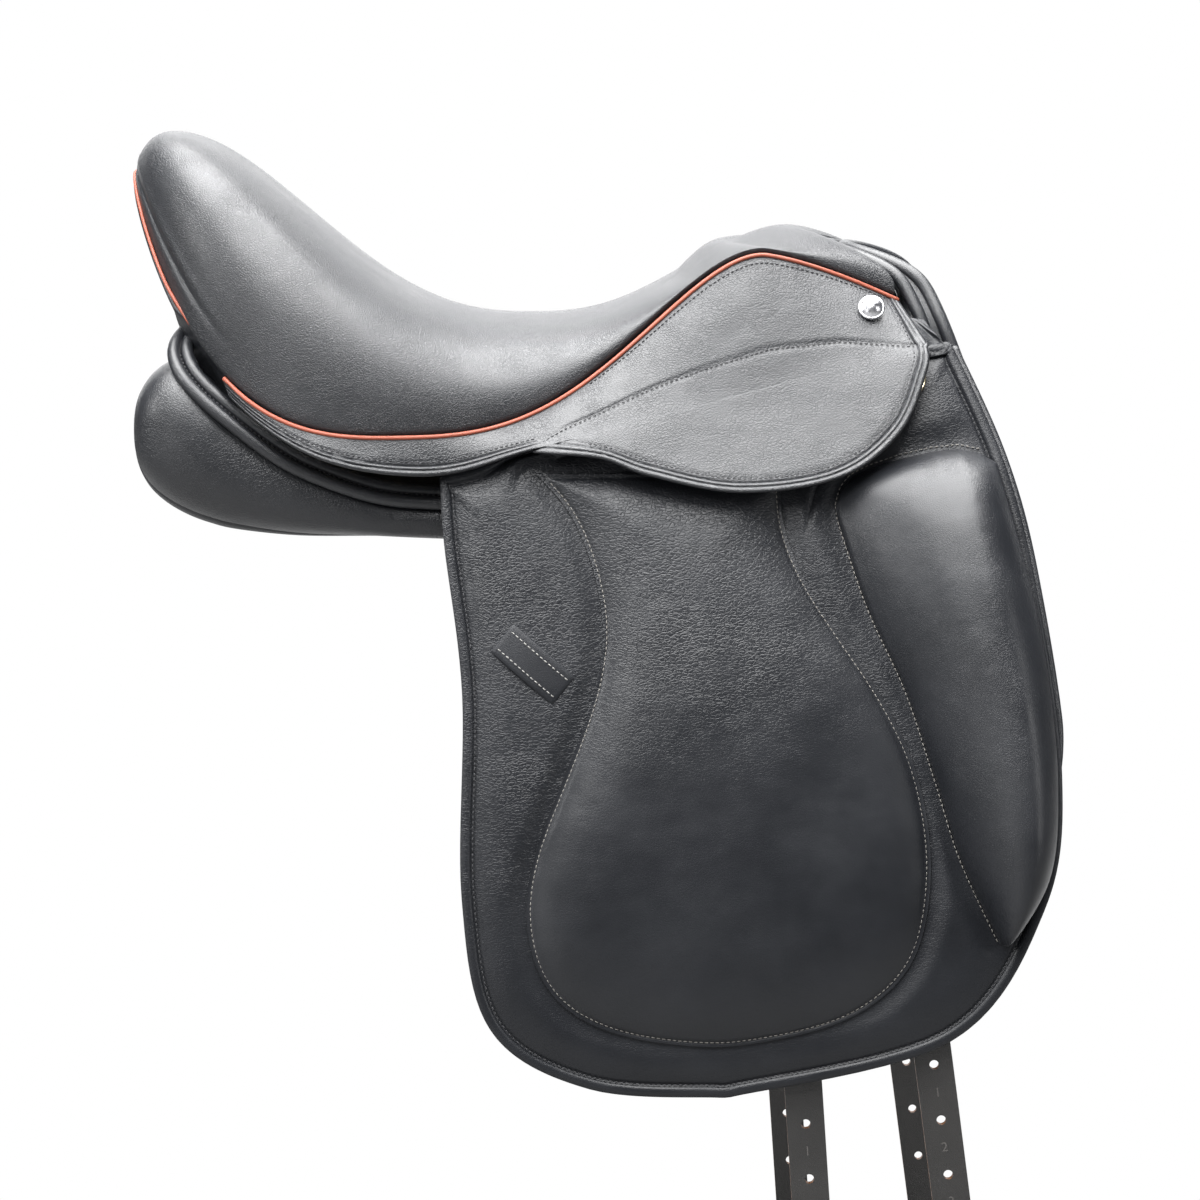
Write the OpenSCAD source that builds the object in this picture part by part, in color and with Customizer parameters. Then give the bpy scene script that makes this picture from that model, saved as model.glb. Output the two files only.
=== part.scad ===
// Dressage saddle: sprung tree, blocked seat, wool panels, straight flaps with
// knee blocks, and long girth straps.
// X runs forward to the pommel, Y to the horse's left and Z up.
// X is 0 below the lowest point of the seat, and Z is 0 where the panels bear on the back.

/* [Seat] */
// Height of the seat's lowest point above the bearing line of the panels
seat_height = 125; // [115:1:140]
// Lowest point back to the crest of the cantle
seat_back = 219; // [210:1:232]
// Lowest point forward to the crest of the pommel
seat_front = 156; // [150:1:165]
// Rise of the cantle's crest above the lowest point
cantle_rise = 111; // [100:1:122]
// Rise of the pommel's crest above the lowest point
pommel_rise = 54; // [46:1:60]
// Depth of the rounded roll behind the cantle's crest
cantle_roll = 21; // [16:1:26]
// Widest part of the seat
seat_width = 280; // [268:1:292]
// Width across the pommel
pommel_width = 146; // [140:1:154]
// Thickness of the seat leather
cover_t = 3; // [2:0.5:4]
// Thickness of the seat foam
foam_t = 14; // [10:1:16]
// Thickness of the tree
tree_t = 9; // [7:1:11]
// Diameter of the welt and cantle piping
piping_d = 4; // [3:0.5:4.5]

/* [Skirt and flap] */
// Thickness of the skirt leather
skirt_t = 4; // [3:0.5:5]
// Depth of the skirt lobe below its bend
lobe_drop = 54; // [48:1:58]
// Outward lean of the lobe for each millimetre it hangs down
lobe_lean = 0.6; // [0.5:0.05:0.7]
// Flap thickness with its lining
flap_t = 5; // [4:0.5:6]
// Flap length below its back corner
flap_length = 356; // [330:1:385]
// Straight back edge of the flap, behind the seat's lowest point
flap_heel = 37; // [28:1:46]
// Furthest reach of the flap in front of the seat's lowest point
flap_reach = 311; // [300:1:322]
// Distance of the flap's lower edge from the middle of the saddle
flap_spread = 208; // [200:1:218]
// Room between skirt and flap at the bend, for the stirrup bar
flap_set_in = 14; // [13:1:16]
// Greatest height of the knee block above the flap
block_height = 46; // [36:1:54]
// Length of the stirrup leather keeper
keeper_length = 46; // [40:1:52]
// Width of the stirrup leather keeper
keeper_width = 20; // [16:1:24]
// Thickness of the stirrup leather keeper
keeper_t = 3; // [2:0.5:4]

/* [Panel] */
// Thickness of the panel leather and of its lining
panel_leather = 2.5; // [2:0.5:3]
// Thickness of the panel's middle from top to bottom
panel_depth = 32; // [28:1:34]
// Height of the stuffed panel at the back
panel_back_height = 86; // [80:1:88]
// Distance from the middle of the saddle to the middle of each panel
panel_offset = 77; // [75:1:80]
// Diameter of the piped rolls behind the flap
back_roll_d = 8; // [7:0.5:9]
// Diameter of the piped rolls round the front arch
front_roll_d = 8; // [7:0.5:9]

/* [Girth straps] */
// Width of each girth strap
billet_w = 22; // [20:1:25]
// Thickness of each girth strap
billet_t = 4; // [3:0.5:4.5]
// Length of the front strap below its bend
front_billet_length = 540; // [510:1:560]
// Length of the rear strap below its bend
rear_billet_length = 536; // [510:1:560]
// Diameter of the buckle holes
billet_hole_d = 5.5; // [5:0.1:6.5]
// Distance between buckle holes
billet_pitch = 33; // [30:1:34]
// Forward lean of the front strap in degrees
front_billet_lean = 7.7; // [6:0.1:9]
// Forward lean of the rear strap in degrees
rear_billet_lean = 4; // [3:0.1:5]

/* [Metal] */
// Length of the stirrup bar that the leather hangs on
bar_length = 44; // [40:1:46]
// Height of the stirrup bar's section
bar_h = 12; // [10:1:13]
// Thickness of the stirrup bar's section
bar_t = 6; // [5.5:0.5:7]
// Diameter of the catch pin
pin_d = 3; // [2.5:0.1:3.5]
// Diameter of the bar rivets
rivet_d = 6; // [5:0.5:7]
// Diameter of the head stud
stud_d = 16; // [13:0.5:18]
// Outside diameter of the front dee
dee_d = 24; // [21:0.5:26]
// Diameter of the dee's wire
dee_wire = 3.5; // [3:0.1:4]

/* [Hidden] */
$fn = 48;
gap = 0.3;
pin_clear = 0.05;
cantle_z = seat_height + cantle_rise;
pommel_z = seat_height + pommel_rise;
seat_rear = -seat_back - cantle_roll;
nose_x = seat_front + 18;
nose_skew = 45;
nose_drop = 6;
wide_x = -seat_back / 2;
welt_low_x = -74;
welt_low_z = seat_height - 59;
welt_crest_x = seat_front - 16;
welt_crest_z = pommel_z - 10;
welt_end_x = nose_x + nose_skew;
welt_end_z = welt_crest_z - 26;
rim_z = cantle_z - 31;
tree_in = cover_t + foam_t;
tree_out = tree_in + tree_t;

hinge_a = [-51, seat_width / 2 + 6, welt_low_z - 25];
hinge_b = [welt_end_x + 28, pommel_width / 2 + 24, welt_end_z - 27];
flap_end = hinge_a.z - flap_length;
flap_mid = 115;
flap_bow = 1.8;

plate_slope = 0.343;
plate_lean = atan(plate_slope);
plate_z = 90;
plate_back = 95;
plate_fore = 198;

bar_x = 135;
bar_z = 54;
bar_ahead = 1.93;
bar_out = hinge_at(bar_x).y - plate_y(bar_z) + bar_ahead;
catch_l = 10;
arm_l = 10;
plate_t = 4;
lever_t = 2;
fork_gap = lever_t + 0.4;
lever_l = 5;
bar_nose = (bar_length + arm_l + catch_l) / 2;
catch_x = catch_l / 2 - bar_nose;
bar_mid = bar_out + bar_t / 2;

billet_gap = 4;
billet_sewn = 14;
billet_flat = 10;
front_billet_x = 194;
rear_billet_x = 138;
billet_top = 22;

sides = ["left", "right"];

// A step from 0 to 1 that starts and ends level
function smooth(t) = let(c = min(max(t, 0), 1)) c * c * (3 - 2 * c);
function mix(a, b, t) = a + (b - a) * t;

// Smooth curve through a list of points, one unit of t for each span
function through(p, t) =
    let(k = min(max(floor(t), 0), len(p) - 2), f = t - k)
    let(a = p[max(k - 1, 0)], b = p[k], c = p[k + 1], d = p[min(k + 2, len(p) - 1)])
    b + 0.5 * f * (c - a + f * (2 * a - 5 * b + 4 * c - d + f * (3 * (b - c) + d - a)));
function along(p, t) = through(p, t * (len(p) - 1));

// Two triangles for each four-sided patch
function patch(a, b, c, d) = [[a, b, c], [a, c, d]];
function joined(grid) = [for (row = grid) each row];
function middle(ring) = [for (p = ring) 1] * ring / len(ring);
function facing(faces, keep) = keep ? faces : [for (f = faces) [f[2], f[1], f[0]]];

// A skin between two grids of points, with a window left out from cell hole[0] to cell hole[1]
module sheet(a, b, hole = [[0, 0], [0, 0]]) {
    m = len(a);
    n = len(a[0]);
    k = m * n;
    i = floor((m - 1) / 2);
    r0 = hole[0].x;
    r1 = hole[1].x;
    c0 = hole[0].y;
    c1 = hole[1].y;
    out = cross(a[i + 1][0] - a[i][0], a[i][1] - a[i][0]) * (a[i][0] - b[i][0]) > 0;
    cells = [for (r = [0:m - 2], c = [0:n - 2]) if (r < r0 || r >= r1 || c < c0 || c >= c1) r * n + c];
    rims = concat(
        [for (c = [0:n - 2]) [c + 1, c]],
        [for (c = [k - n:k - 2]) [c, c + 1]],
        [for (r = [0:m - 2]) [r * n, r * n + n]],
        [for (r = [0:m - 2]) [r * n + 2 * n - 1, r * n + n - 1]],
        r1 == r0 ? [] : concat(
            [for (c = [c0:c1 - 1]) [r0 * n + c, r0 * n + c + 1]],
            [for (c = [c0:c1 - 1]) [r1 * n + c + 1, r1 * n + c]],
            [for (r = [r0:r1 - 1]) [r * n + n + c0, r * n + c0]],
            [for (r = [r0:r1 - 1]) [r * n + c1, r * n + n + c1]]));
    faces = concat(
        [for (q = cells) each patch(q, q + 1, q + n + 1, q + n)],
        [for (q = cells) each patch(k + q, k + q + n, k + q + n + 1, k + q + 1)],
        [for (e = rims) each patch(e[0], e[1], k + e[1], k + e[0])]);
    polyhedron(concat(joined(a), joined(b)), facing(faces, out));
}

// A closed form through a row of rings
module loft(rings) {
    m = len(rings);
    n = len(rings[0]);
    k = m * n;
    i = floor(m / 2);
    out = cross(rings[i][0] - rings[i - 1][0], rings[i][1] - rings[i][0]) * (rings[i][0] - middle(rings[i])) > 0;
    faces = concat(
        [for (r = [0:m - 2], c = [0:n - 1]) let(d = (c + 1) % n) each patch(r * n + c, r * n + d, r * n + n + d, r * n + n + c)],
        [for (c = [0:n - 1]) [k, (c + 1) % n, c]],
        [for (c = [0:n - 1]) [k + 1, k - n + c, k - n + (c + 1) % n]]);
    polyhedron(concat(joined(rings), [middle(rings[0]), middle(rings[m - 1])]), facing(faces, out));
}

// A round cord along a path
module cord(path, d, sections = 8) {
    last = len(path) - 1;
    loft([for (k = [0:last])
        let(t = path[min(k + 1, last)] - path[max(k - 1, 0)], run = t / norm(t))
        let(s = cross(run, [0.05, 0.1, 1]), side = s / norm(s), up = cross(side, run))
        [for (q = [0:sections - 1]) path[k] + d / 2 * (cos(360 * q / sections) * side + sin(360 * q / sections) * up)]]);
}

// Seat: crest, welt and half width along X, each for a layer set in by d
function crest_of(x, d) =
    let(back = seat_back - 0.8 * d, roll = cantle_roll - 0.2 * d, low = welt_of(seat_rear + d))
    (x < -back ? low + (cantle_z - d - low) * sqrt(max(0, 1 - pow((x + back) / roll, 2)))
        : x < 0 ? seat_height - d + cantle_rise * smooth(pow(-x / back, 1.3))
        : x < seat_front ? seat_height - d + pommel_rise * smooth(pow(x / seat_front, 1.35))
        : pommel_z - d - nose_drop * pow((x - seat_front) / (nose_x - seat_front), 2));
function welt_of(x) =
    x < welt_low_x ? welt_low_z + (rim_z - welt_low_z) * pow((welt_low_x - x) / (welt_low_x - seat_rear), 2.95)
    : x < welt_crest_x ? mix(welt_low_z, welt_crest_z, smooth(pow((x - welt_low_x) / (welt_crest_x - welt_low_x), 1.5)))
    : mix(welt_crest_z, welt_end_z, pow((x - welt_crest_x) / (welt_end_x - welt_crest_x), 1.4));
function half_of(x, d) =
    x < wide_x ? (seat_width / 2 - d) * sqrt(max(0, 1 - pow((x - wide_x) / (wide_x - seat_rear - d), 2)))
    : mix(seat_width, pommel_width, smooth((x - wide_x) / (seat_front - wide_x))) / 2 - d
        - 8 * max(0, (x - seat_front) / (welt_end_x - seat_front));
function roundness(x) = 2.3 + 0.9 * smooth(-x / 150);

// Inner layers end lower than the cover towards the pommel, where the welt is as high as the seat
function edge_drop(x, d) = max(d - cover_t, 0) * smooth((x - 20) / 60);

// A point of a seat layer: t runs from cantle to pommel, u from right to left
function seat_point(t, u, d) =
    let(f = 0.45 * t + 0.55 * (1 - cos(180 * t)) / 2)
    let(xm = mix(seat_rear + d + 0.8, nose_x, f))
    let(xe = xm + nose_skew * smooth((xm - 60) / (nose_x - 60)))
    let(n = 2 / roundness(xm), s = pow(abs(sin(90 * u)), n), c = pow(max(cos(90 * u), 0), n))
    let(low = welt_of(xe) - edge_drop(xm, d), high = max(crest_of(xm, d), low + 1))
    [mix(xm, xe, s * s), sign(u) * s * max(half_of(xe, d), 3), low + (high - low) * c];
function seat_grid(d, t0, t1, u0, u1, rows, cols) =
    [for (i = [0:rows]) [for (j = [0:cols]) seat_point(mix(t0, t1, i / rows), mix(u0, u1, j / cols), d)]];
module seat_layer(d0, d1, t0 = 0, t1 = 1, u0 = -1, u1 = 1, rows = 18, cols = 12, hole = [[0, 0], [0, 0]])
    sheet(seat_grid(d0, t0, t1, u0, u1, rows, cols), seat_grid(d1, t0, t1, u0, u1, rows, cols), hole);

// A point of the welt line, moved down square to the line by k and out by o
function welt_point(x, k, o) =
    let(a = atan2(welt_of(x + 1) - welt_of(x - 1), 2))
    [x + k * sin(a), half_of(x, 0) + o, welt_of(x) - k * cos(a)];

// The bend line of flap and skirt
function hinge_at(x) = mix(hinge_a, hinge_b, (x - hinge_a.x) / (hinge_b.x - hinge_a.x));

// Outer face of the flap
function flap_y(x, z) =
    let(h = hinge_at(x), t = min(max((h.z - z) / (h.z - flap_end), 0), 1), top = h.y - flap_set_in)
    top + (flap_spread - top) * (1 - pow(1 - t, flap_bow));
function on_flap(x, z, out) = [x, flap_y(x, z) + out, z];

heel_line = [
    [hinge_a.x, hinge_a.z - 2], [hinge_a.x + 3, hinge_a.z - 41], [-flap_heel, hinge_a.z - 126],
    [-flap_heel, flap_end + 115], [-flap_heel + 17, flap_end + 39], [-flap_heel + 74, flap_end + 5],
    [flap_mid - 2, flap_end]];
toe_line = [
    [hinge_b.x + 4, hinge_b.z - 2], [hinge_b.x + 33, hinge_b.z - 68], [flap_reach - 14, flap_end + 295],
    [flap_reach, flap_end + 185], [flap_reach - 11, flap_end + 108], [flap_reach - 65, flap_end + 33],
    [flap_mid + 2, flap_end]];

module flap() {
    rows = 15;
    cols = 9;
    outline = [for (i = [0:rows]) [for (j = [0:cols]) mix(along(heel_line, i / rows), along(toe_line, i / rows), j / cols)]];
    room = 3;
    color([0.06, 0.06, 0.065])
        difference() {
            sheet([for (r = outline) [for (p = r) on_flap(p.x, p.y, 0)]],
                [for (r = outline) [for (p = r) on_flap(p.x, p.y, -flap_t)]]);
            translate([bar_x + catch_x - lever_l - 2 * room, 0, bar_z - bar_h])
                cube([bar_nose - catch_x + lever_l + 3 * room, flap_spread, 120]);
        }
}

// Upper part of the flap, from the tree's edge to the bend
module flap_head() {
    rows = 12;
    cols = 2;
    face = [for (i = [0:rows]) [for (j = [0:cols])
        let(x = mix(hinge_a.x + 2, welt_end_x + 6, i / rows), h = hinge_at(x))
        let(top = [x, half_of(x, tree_in - flap_t) - 2 * gap, welt_of(x) - edge_drop(x, tree_in + 1) - 4 * gap])
        mix(top, [x, h.y - flap_set_in, h.z - 2 + gap], j / cols)]];
    color([0.06, 0.06, 0.065])
        sheet(face, [for (r = face) [for (p = r) p - [0, flap_t, 0]]]);
}

// Knee block outline, back edge and front edge from top to tip
block_back = [
    [flap_reach - 130, flap_end + 334], [flap_reach - 112, flap_end + 280], [flap_reach - 90, flap_end + 232],
    [flap_reach - 73, flap_end + 181], [flap_reach - 59, flap_end + 137], [flap_reach - 37, flap_end + 90]];
block_fore = [
    [flap_reach - 34, flap_end + 360], [flap_reach - 19, flap_end + 303], [flap_reach - 8, flap_end + 247],
    [flap_reach - 3, flap_end + 185], [flap_reach - 8, flap_end + 130], [flap_reach - 33, flap_end + 89]];
block_crown = 17;
module knee_block() {
    rows = 12;
    cols = 9;
    spots = [for (i = [0:rows]) [for (j = [0:cols])
        let(v = i / rows, u = j / cols, crown = block_crown * pow(sin(180 * u), 0.6) * pow(1 - v, 3))
        let(p = mix(along(block_back, v), along(block_fore, v), u) + [0, crown])
        let(ends = sqrt(max(0, 1 - pow(abs(2 * v - 1), v < 0.5 ? 6 : 3))), swell = pow(sin(90 * min(u / 0.72, 1)), 0.8))
        let(front = sqrt(max(0, 1 - pow(max(0, (u - 0.72) / 0.28), 2))))
        [p, 1 + block_height * ends * swell * front]]];
    color([0.05, 0.05, 0.055])
        sheet([for (r = spots) [for (s = r) on_flap(s[0].x, s[0].y, 0.5 + s[1])]],
            [for (r = spots) [for (s = r) on_flap(s[0].x, s[0].y, 0.5)]]);
}

// Stuffed pad on the flap, between back edge and knee block
pad_back = [
    [8, hinge_a.z - 3], [26, hinge_a.z - 24], [46, hinge_a.z - 93], [22, hinge_a.z - 175], [0, flap_end + 103],
    [43, flap_end + 40], [101, flap_end + 29]];
pad_fore = [
    [149, hinge_a.z - 4], [153, hinge_a.z - 42], [176, hinge_a.z - 76], [231, flap_end + 195], [239, flap_end + 138],
    [205, flap_end + 57], [159, flap_end + 35]];
module thigh_pad() {
    rows = 12;
    cols = 7;
    spots = [for (i = [0:rows]) [for (j = [0:cols])
        let(v = i / rows, u = j / cols, p = mix(along(pad_back, v), along(pad_fore, v), u))
        [p, 0.6 + 4 * sqrt(max(0, (1 - pow(2 * v - 1, 4)) * (1 - pow(2 * u - 1, 4))))]]];
    color([0.06, 0.06, 0.065])
        sheet([for (r = spots) [for (s = r) on_flap(s[0].x, s[0].y, 0.5 + s[1])]],
            [for (r = spots) [for (s = r) on_flap(s[0].x, s[0].y, 0.5)]]);
}

keeper_at = [4, hinge_a.z - 108];
keeper_turn = -40;
module keeper() {
    rows = 6;
    run = [cos(keeper_turn), sin(keeper_turn)];
    spots = [for (i = [0:rows]) [for (j = [-1:1])
        let(u = 2 * i / rows - 1)
        [keeper_at + run * u * keeper_length / 2 + [-run.y, run.x] * j * keeper_width / 2, 0.5 + 2 * (1 - u * u)]]];
    color([0.05, 0.05, 0.05])
        sheet([for (r = spots) [for (s = r) on_flap(s[0].x, s[0].y, s[1] + keeper_t)]],
            [for (r = spots) [for (s = r) on_flap(s[0].x, s[0].y, s[1])]]);
}

// Skirt: from the welt to the bend line, with its tail running back along the seat
skirt_tail = -174;
lobe_tail = 4;
lobe_nose = hinge_b.x - 8;
function tail_edge(x) =
    [x, half_of(x, 0) + 3 + 6 * smooth((x - skirt_tail) / 60), welt_of(x) - 13 - 13 * smooth((x - skirt_tail) / 120)];
function skirt_low(x) =
    let(e = tail_edge(x), h = hinge_at(x) + [0, 0, gap])
    mix(e, h, smooth((x + 60) / 64));
module skirt_top() {
    rows = 22;
    cols = 3;
    over = [for (i = [0:rows]) welt_point(mix(skirt_tail, welt_end_x + 5, i / rows), piping_d + 8 * gap, 1.5)];
    under = [for (i = [0:rows]) skirt_low(mix(skirt_tail, lobe_nose, i / rows))];
    face = [for (i = [0:rows]) [for (j = [0:cols])
        mix(over[i], under[i], j / cols) + [0, 3 * sin(180 * j / cols) * smooth((i - 4) / 8), 0]]];
    color([0.06, 0.06, 0.065])
        sheet(face, [for (r = face) [for (p = r) p - [0, skirt_t, 0]]]);
}
lobe_line = [
    [lobe_tail, hinge_at(lobe_tail).z - 1.5], [43, hinge_at(125).z - 0.65 * lobe_drop],
    [72, hinge_at(125).z - 0.83 * lobe_drop], [125, hinge_at(125).z - lobe_drop],
    [lobe_nose - 53, hinge_at(125).z - 0.85 * lobe_drop], [lobe_nose - 17, hinge_at(125).z - 0.38 * lobe_drop],
    [lobe_nose - 1, hinge_at(lobe_nose).z - 14], [lobe_nose, hinge_at(lobe_nose).z - 1.5]];
module skirt_lobe() {
    rows = 14;
    cols = 4;
    face = [for (i = [0:rows]) [for (j = [0:cols])
        let(x0 = mix(lobe_tail, lobe_nose, i / rows), low = along(lobe_line, i / rows))
        let(p = mix([x0, hinge_at(x0).z - gap], low, j / cols), h = hinge_at(p.x))
        [p.x, h.y + lobe_lean * (h.z - p.y), p.y]]];
    color([0.06, 0.06, 0.065])
        sheet(face, [for (r = face) [for (p = r) p - [0, skirt_t, 0]]]);
}

module welt() {
    steps = 26;
    color([0.75, 0.30, 0.10])
        cord([for (i = [0:steps]) welt_point(mix(-172, welt_end_x + 4, i / steps), piping_d / 2 + 7 * gap, 1)], piping_d, 6);
}

// Back of the cantle: the rim as an ellipse seen from above
function rim_point(a, k, o) =
    let(x = wide_x - (wide_x - seat_rear) * cos(a))
    [x - o * cos(a), (seat_width / 2 + o) * sin(a), welt_of(x) - k];
module cantle_piping() {
    steps = 20;
    color([0.75, 0.30, 0.10])
        cord([for (i = [0:steps]) rim_point(mix(-57, 57, i / steps), piping_d / 2 + 2.4, 0.4)], piping_d, 6);
}
module cantle_back() {
    cols = 14;
    rows = 4;
    face = [for (i = [0:rows]) [for (j = [0:cols])
        let(a = mix(-44, 44, j / cols), p = rim_point(a, piping_d + 3, -1), drop = 1 + 88 * pow(cos(a), 12), v = i / rows)
        p + [v * 0.38 * drop + 3 * sin(180 * v) * pow(cos(a), 6), -v * p.y * drop / 600, -v * drop]]];
    color([0.05, 0.05, 0.055])
        sheet([for (r = face) [for (p = r) p - [2, 0, 2]]], face);
}

module seat_cover() color([0.05, 0.05, 0.055]) seat_layer(0, cover_t);
module seat_foam() color([0.85, 0.80, 0.62]) seat_layer(cover_t, tree_in);

// Tree: a frame with an open middle, and two points beside the withers
module tree()
    color([0.62, 0.45, 0.26]) seat_layer(tree_in, tree_out, hole = [[5, 3], [14, 9]]);
function plate_y(z) = 80 + (plate_z - z) * plate_slope;
point_t = 7;
module tree_point() {
    rows = 6;
    face = [for (i = [0:rows])
        let(x = mix(plate_back, plate_fore, i / rows), top = welt_of(x) - edge_drop(x, tree_out) - 2, side = half_of(x, tree_in) - 1)
        let(low = 16 + 22 * pow(1 - i / rows, 2))
        [[x, side, top], [x, mix(side, plate_y(110), 0.5), mix(top, 110, 0.5)],
            for (z = [110, 84, mix(84, low, 0.5), low]) [x, plate_y(z), z]]];
    color([0.58, 0.42, 0.25])
        difference() {
            sheet(face, [for (r = face) [for (p = r) p - [0, point_t, 0]]]);
            at_bar() rivet_spots() shank(rivet_d);
        }
}
module gullet_plate() {
    foot = plate_y(112) - point_t - 1.3;
    head = half_of(nose_x, tree_out) - 5.3;
    high = crest_of(nose_x, tree_out) - 3.5;
    t = 3;
    half = [[0, high], [head - 18, high - 0.5], [head, high - 5], [foot, 112]];
    over = concat([for (k = [3:-1:1]) [-half[k].x, half[k].y]], half);
    under = [for (k = [6:-1:0]) [sign(over[k].x) * max(abs(over[k].x) - t, 0), over[k].y - t]];
    color([0.55, 0.56, 0.58])
        translate([seat_front - 10, 0, 0])
            rotate([90, 0, 90])
                linear_extrude(height = 24) polygon(concat(over, under));
}
module strainer_webs()
    color([0.80, 0.76, 0.66])
        for (m = [-1, 1])
            seat_layer(tree_out + 2 * gap, tree_out + 2, 4 / 18, 15 / 18, m / 6, m / 3, 11, 1);
module belly_web()
    color([0.78, 0.74, 0.64]) seat_layer(tree_out + 2 + gap, tree_out + 4, 8 / 18, 10 / 18, -5 / 6, 5 / 6, 2, 10);

// Stirrup bar, square to the tree's side plate: Y runs outward, Z up the plate
module at_bar()
    translate([bar_x, plate_y(bar_z), bar_z])
        rotate([plate_lean, 0, 0])
            children();
module rivet_spots()
    for (x = [-28, 10]) translate([x, 0, 0]) children();
module shank(d) rotate([90, 0, 0]) cylinder(d = d, h = 40, center = true);
module stirrup_bar() {
    tail = catch_x - pin_d;
    color([0.70, 0.71, 0.73])
        at_bar()
            difference() {
                union() {
                    translate([-36, gap, -bar_h]) cube([72, plate_t, 2 * bar_h]);
                    translate([bar_nose - arm_l, gap, -bar_h / 2]) cube([arm_l, bar_out + bar_t - gap, bar_h]);
                    translate([tail, bar_out, -bar_h / 2]) cube([bar_nose - tail, bar_t, bar_h]);
                }
                rivet_spots() shank(rivet_d);
                translate([tail - 1, bar_mid - fork_gap / 2, -bar_h])
                    cube([catch_l + pin_d, fork_gap, 2 * bar_h]);
                translate([catch_x, bar_mid, 0]) shank(pin_d);
            }
}
module bar_rivets()
    color([0.62, 0.62, 0.64])
        at_bar()
            rivet_spots() {
                translate([0, plate_t + gap + 0.1, 0]) rotate([-90, 0, 0]) cylinder(d = rivet_d + 4, h = 1.6);
                translate([0, 1 - point_t * cos(plate_lean), 0])
                    rotate([-90, 0, 0])
                        cylinder(d = rivet_d - 2 * pin_clear, h = point_t * cos(plate_lean) + plate_t);
            }
module bar_catch() {
    color([0.72, 0.73, 0.75])
        at_bar()
            translate([catch_x, bar_mid, 0])
                difference() {
                    union() {
                        rotate([90, 0, 0]) cylinder(d = bar_h - 3, h = lever_t, center = true);
                        translate([-lever_l, -lever_t / 2, -3]) cube([lever_l, lever_t, 6]);
                    }
                    shank(pin_d + 2 * pin_clear);
                }
}
module catch_pin()
    color([0.66, 0.67, 0.69])
        at_bar()
            translate([catch_x, bar_mid, 0])
                rotate([90, 0, 0])
                    cylinder(d = pin_d, h = bar_t, center = true);

// Panel: a stuffed form whose section turns from flat to upright towards the front
front_tilt = 90 - plate_lean;
panel_rows = [
    [-235, panel_offset, 62, 0.1, 0.1, 0], [-232, panel_offset, 62, 24, 0.21 * panel_back_height, 0],
    [-223, panel_offset, 62, 38, 0.39 * panel_back_height, 0],
    [-205, panel_offset, 60, 46, 0.5 * panel_back_height, 0],
    [-172, panel_offset, 42, 48, 0.46 * panel_back_height, 0],
    [-135, panel_offset, 29, 48, 0.32 * panel_back_height, 6],
    [-86, panel_offset, 20, 46, 0.5 * panel_depth, 12],
    [-30, panel_offset, 19, 45, 0.47 * panel_depth, 16],
    [30, panel_offset - 2, 22, 47, 0.47 * panel_depth, 22], [70, panel_offset - 5, 28, 52, 0.5 * panel_depth, 34],
    [105, panel_offset - 8, 37, 60, 0.48 * panel_depth, 52], [140, panel_offset - 9, 46, 70, 0.46 * panel_depth, 66],
    [175, panel_offset - 9, 50, 74, 0.44 * panel_depth, front_tilt],
    [212, panel_offset - 8, 52, 72, 0.42 * panel_depth, front_tilt],
    [236, panel_offset - 7, 52, 62, 0.34 * panel_depth, front_tilt],
    [246, panel_offset - 7, 52, 0.1, 0.1, front_tilt]];
function panel_row(t) = let(k = min(floor(t), len(panel_rows) - 2)) mix(panel_rows[k], panel_rows[k + 1], t - k);
function panel_point(t, a, d) =
    let(r = panel_row(t), n = 0.75, long = max(r[3] - d, 0.05), deep = max(r[4] - d, 0.05))
    let(p = long * sign(cos(a)) * pow(abs(cos(a)), n), q = deep * sign(sin(a)) * pow(abs(sin(a)), n))
    let(end = t == 0 ? d : t == len(panel_rows) - 1 ? -d : 0)
    [r[0] + end, r[1] + p * cos(r[5]) + q * sin(r[5]), r[2] - p * sin(r[5]) + q * cos(r[5])];
function panel_skin(d, from, to, steps) =
    [for (i = [0:len(panel_rows) - 1]) [for (j = [0:steps]) panel_point(i, mix(from, to, j / steps), d)]];
module panel_leather_skin()
    color([0.06, 0.06, 0.065])
        sheet(panel_skin(0, -210, 30, 10), panel_skin(panel_leather, -210, 30, 10));
module panel_lining()
    color([0.12, 0.12, 0.12])
        sheet(panel_skin(0, 34, 146, 5), panel_skin(panel_leather - gap, 34, 146, 5));
module panel_wool()
    color([0.86, 0.84, 0.78])
        loft(panel_skin(panel_leather, -210, 126, 14));

// Piped rolls along the top of the panel: place along the panel's rows, and angle round its section
roll_line = [
    [2.85, 120], [2.95, 92], [3.1, 66], [3.5, 50], [4.2, 43], [5, 42], [5.8, 49], [6.3, 52], [6.75, 54]];
function roll_at(t, lift) = let(c = along(roll_line, t)) panel_point(c.x, c.y, -back_roll_d / 2 - lift);
roll_lift = 4 * gap;
function roll_beside(t) =
    let(p = roll_at(t, roll_lift), run = roll_at(t + 0.01, 0) - roll_at(t - 0.01, 0), out = roll_at(t, 5) - p)
    let(up = cross(out, run))
    p + (back_roll_d + 2 * gap) * up / norm(up) + 0.8 * out / norm(out);
module back_rolls() {
    steps = 28;
    color([0.07, 0.07, 0.075]) {
        cord([for (i = [0:steps]) roll_at(i / steps, roll_lift)], back_roll_d, 8);
        cord([for (i = [0:steps]) roll_beside(i / steps)], back_roll_d, 8);
    }
}

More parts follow.
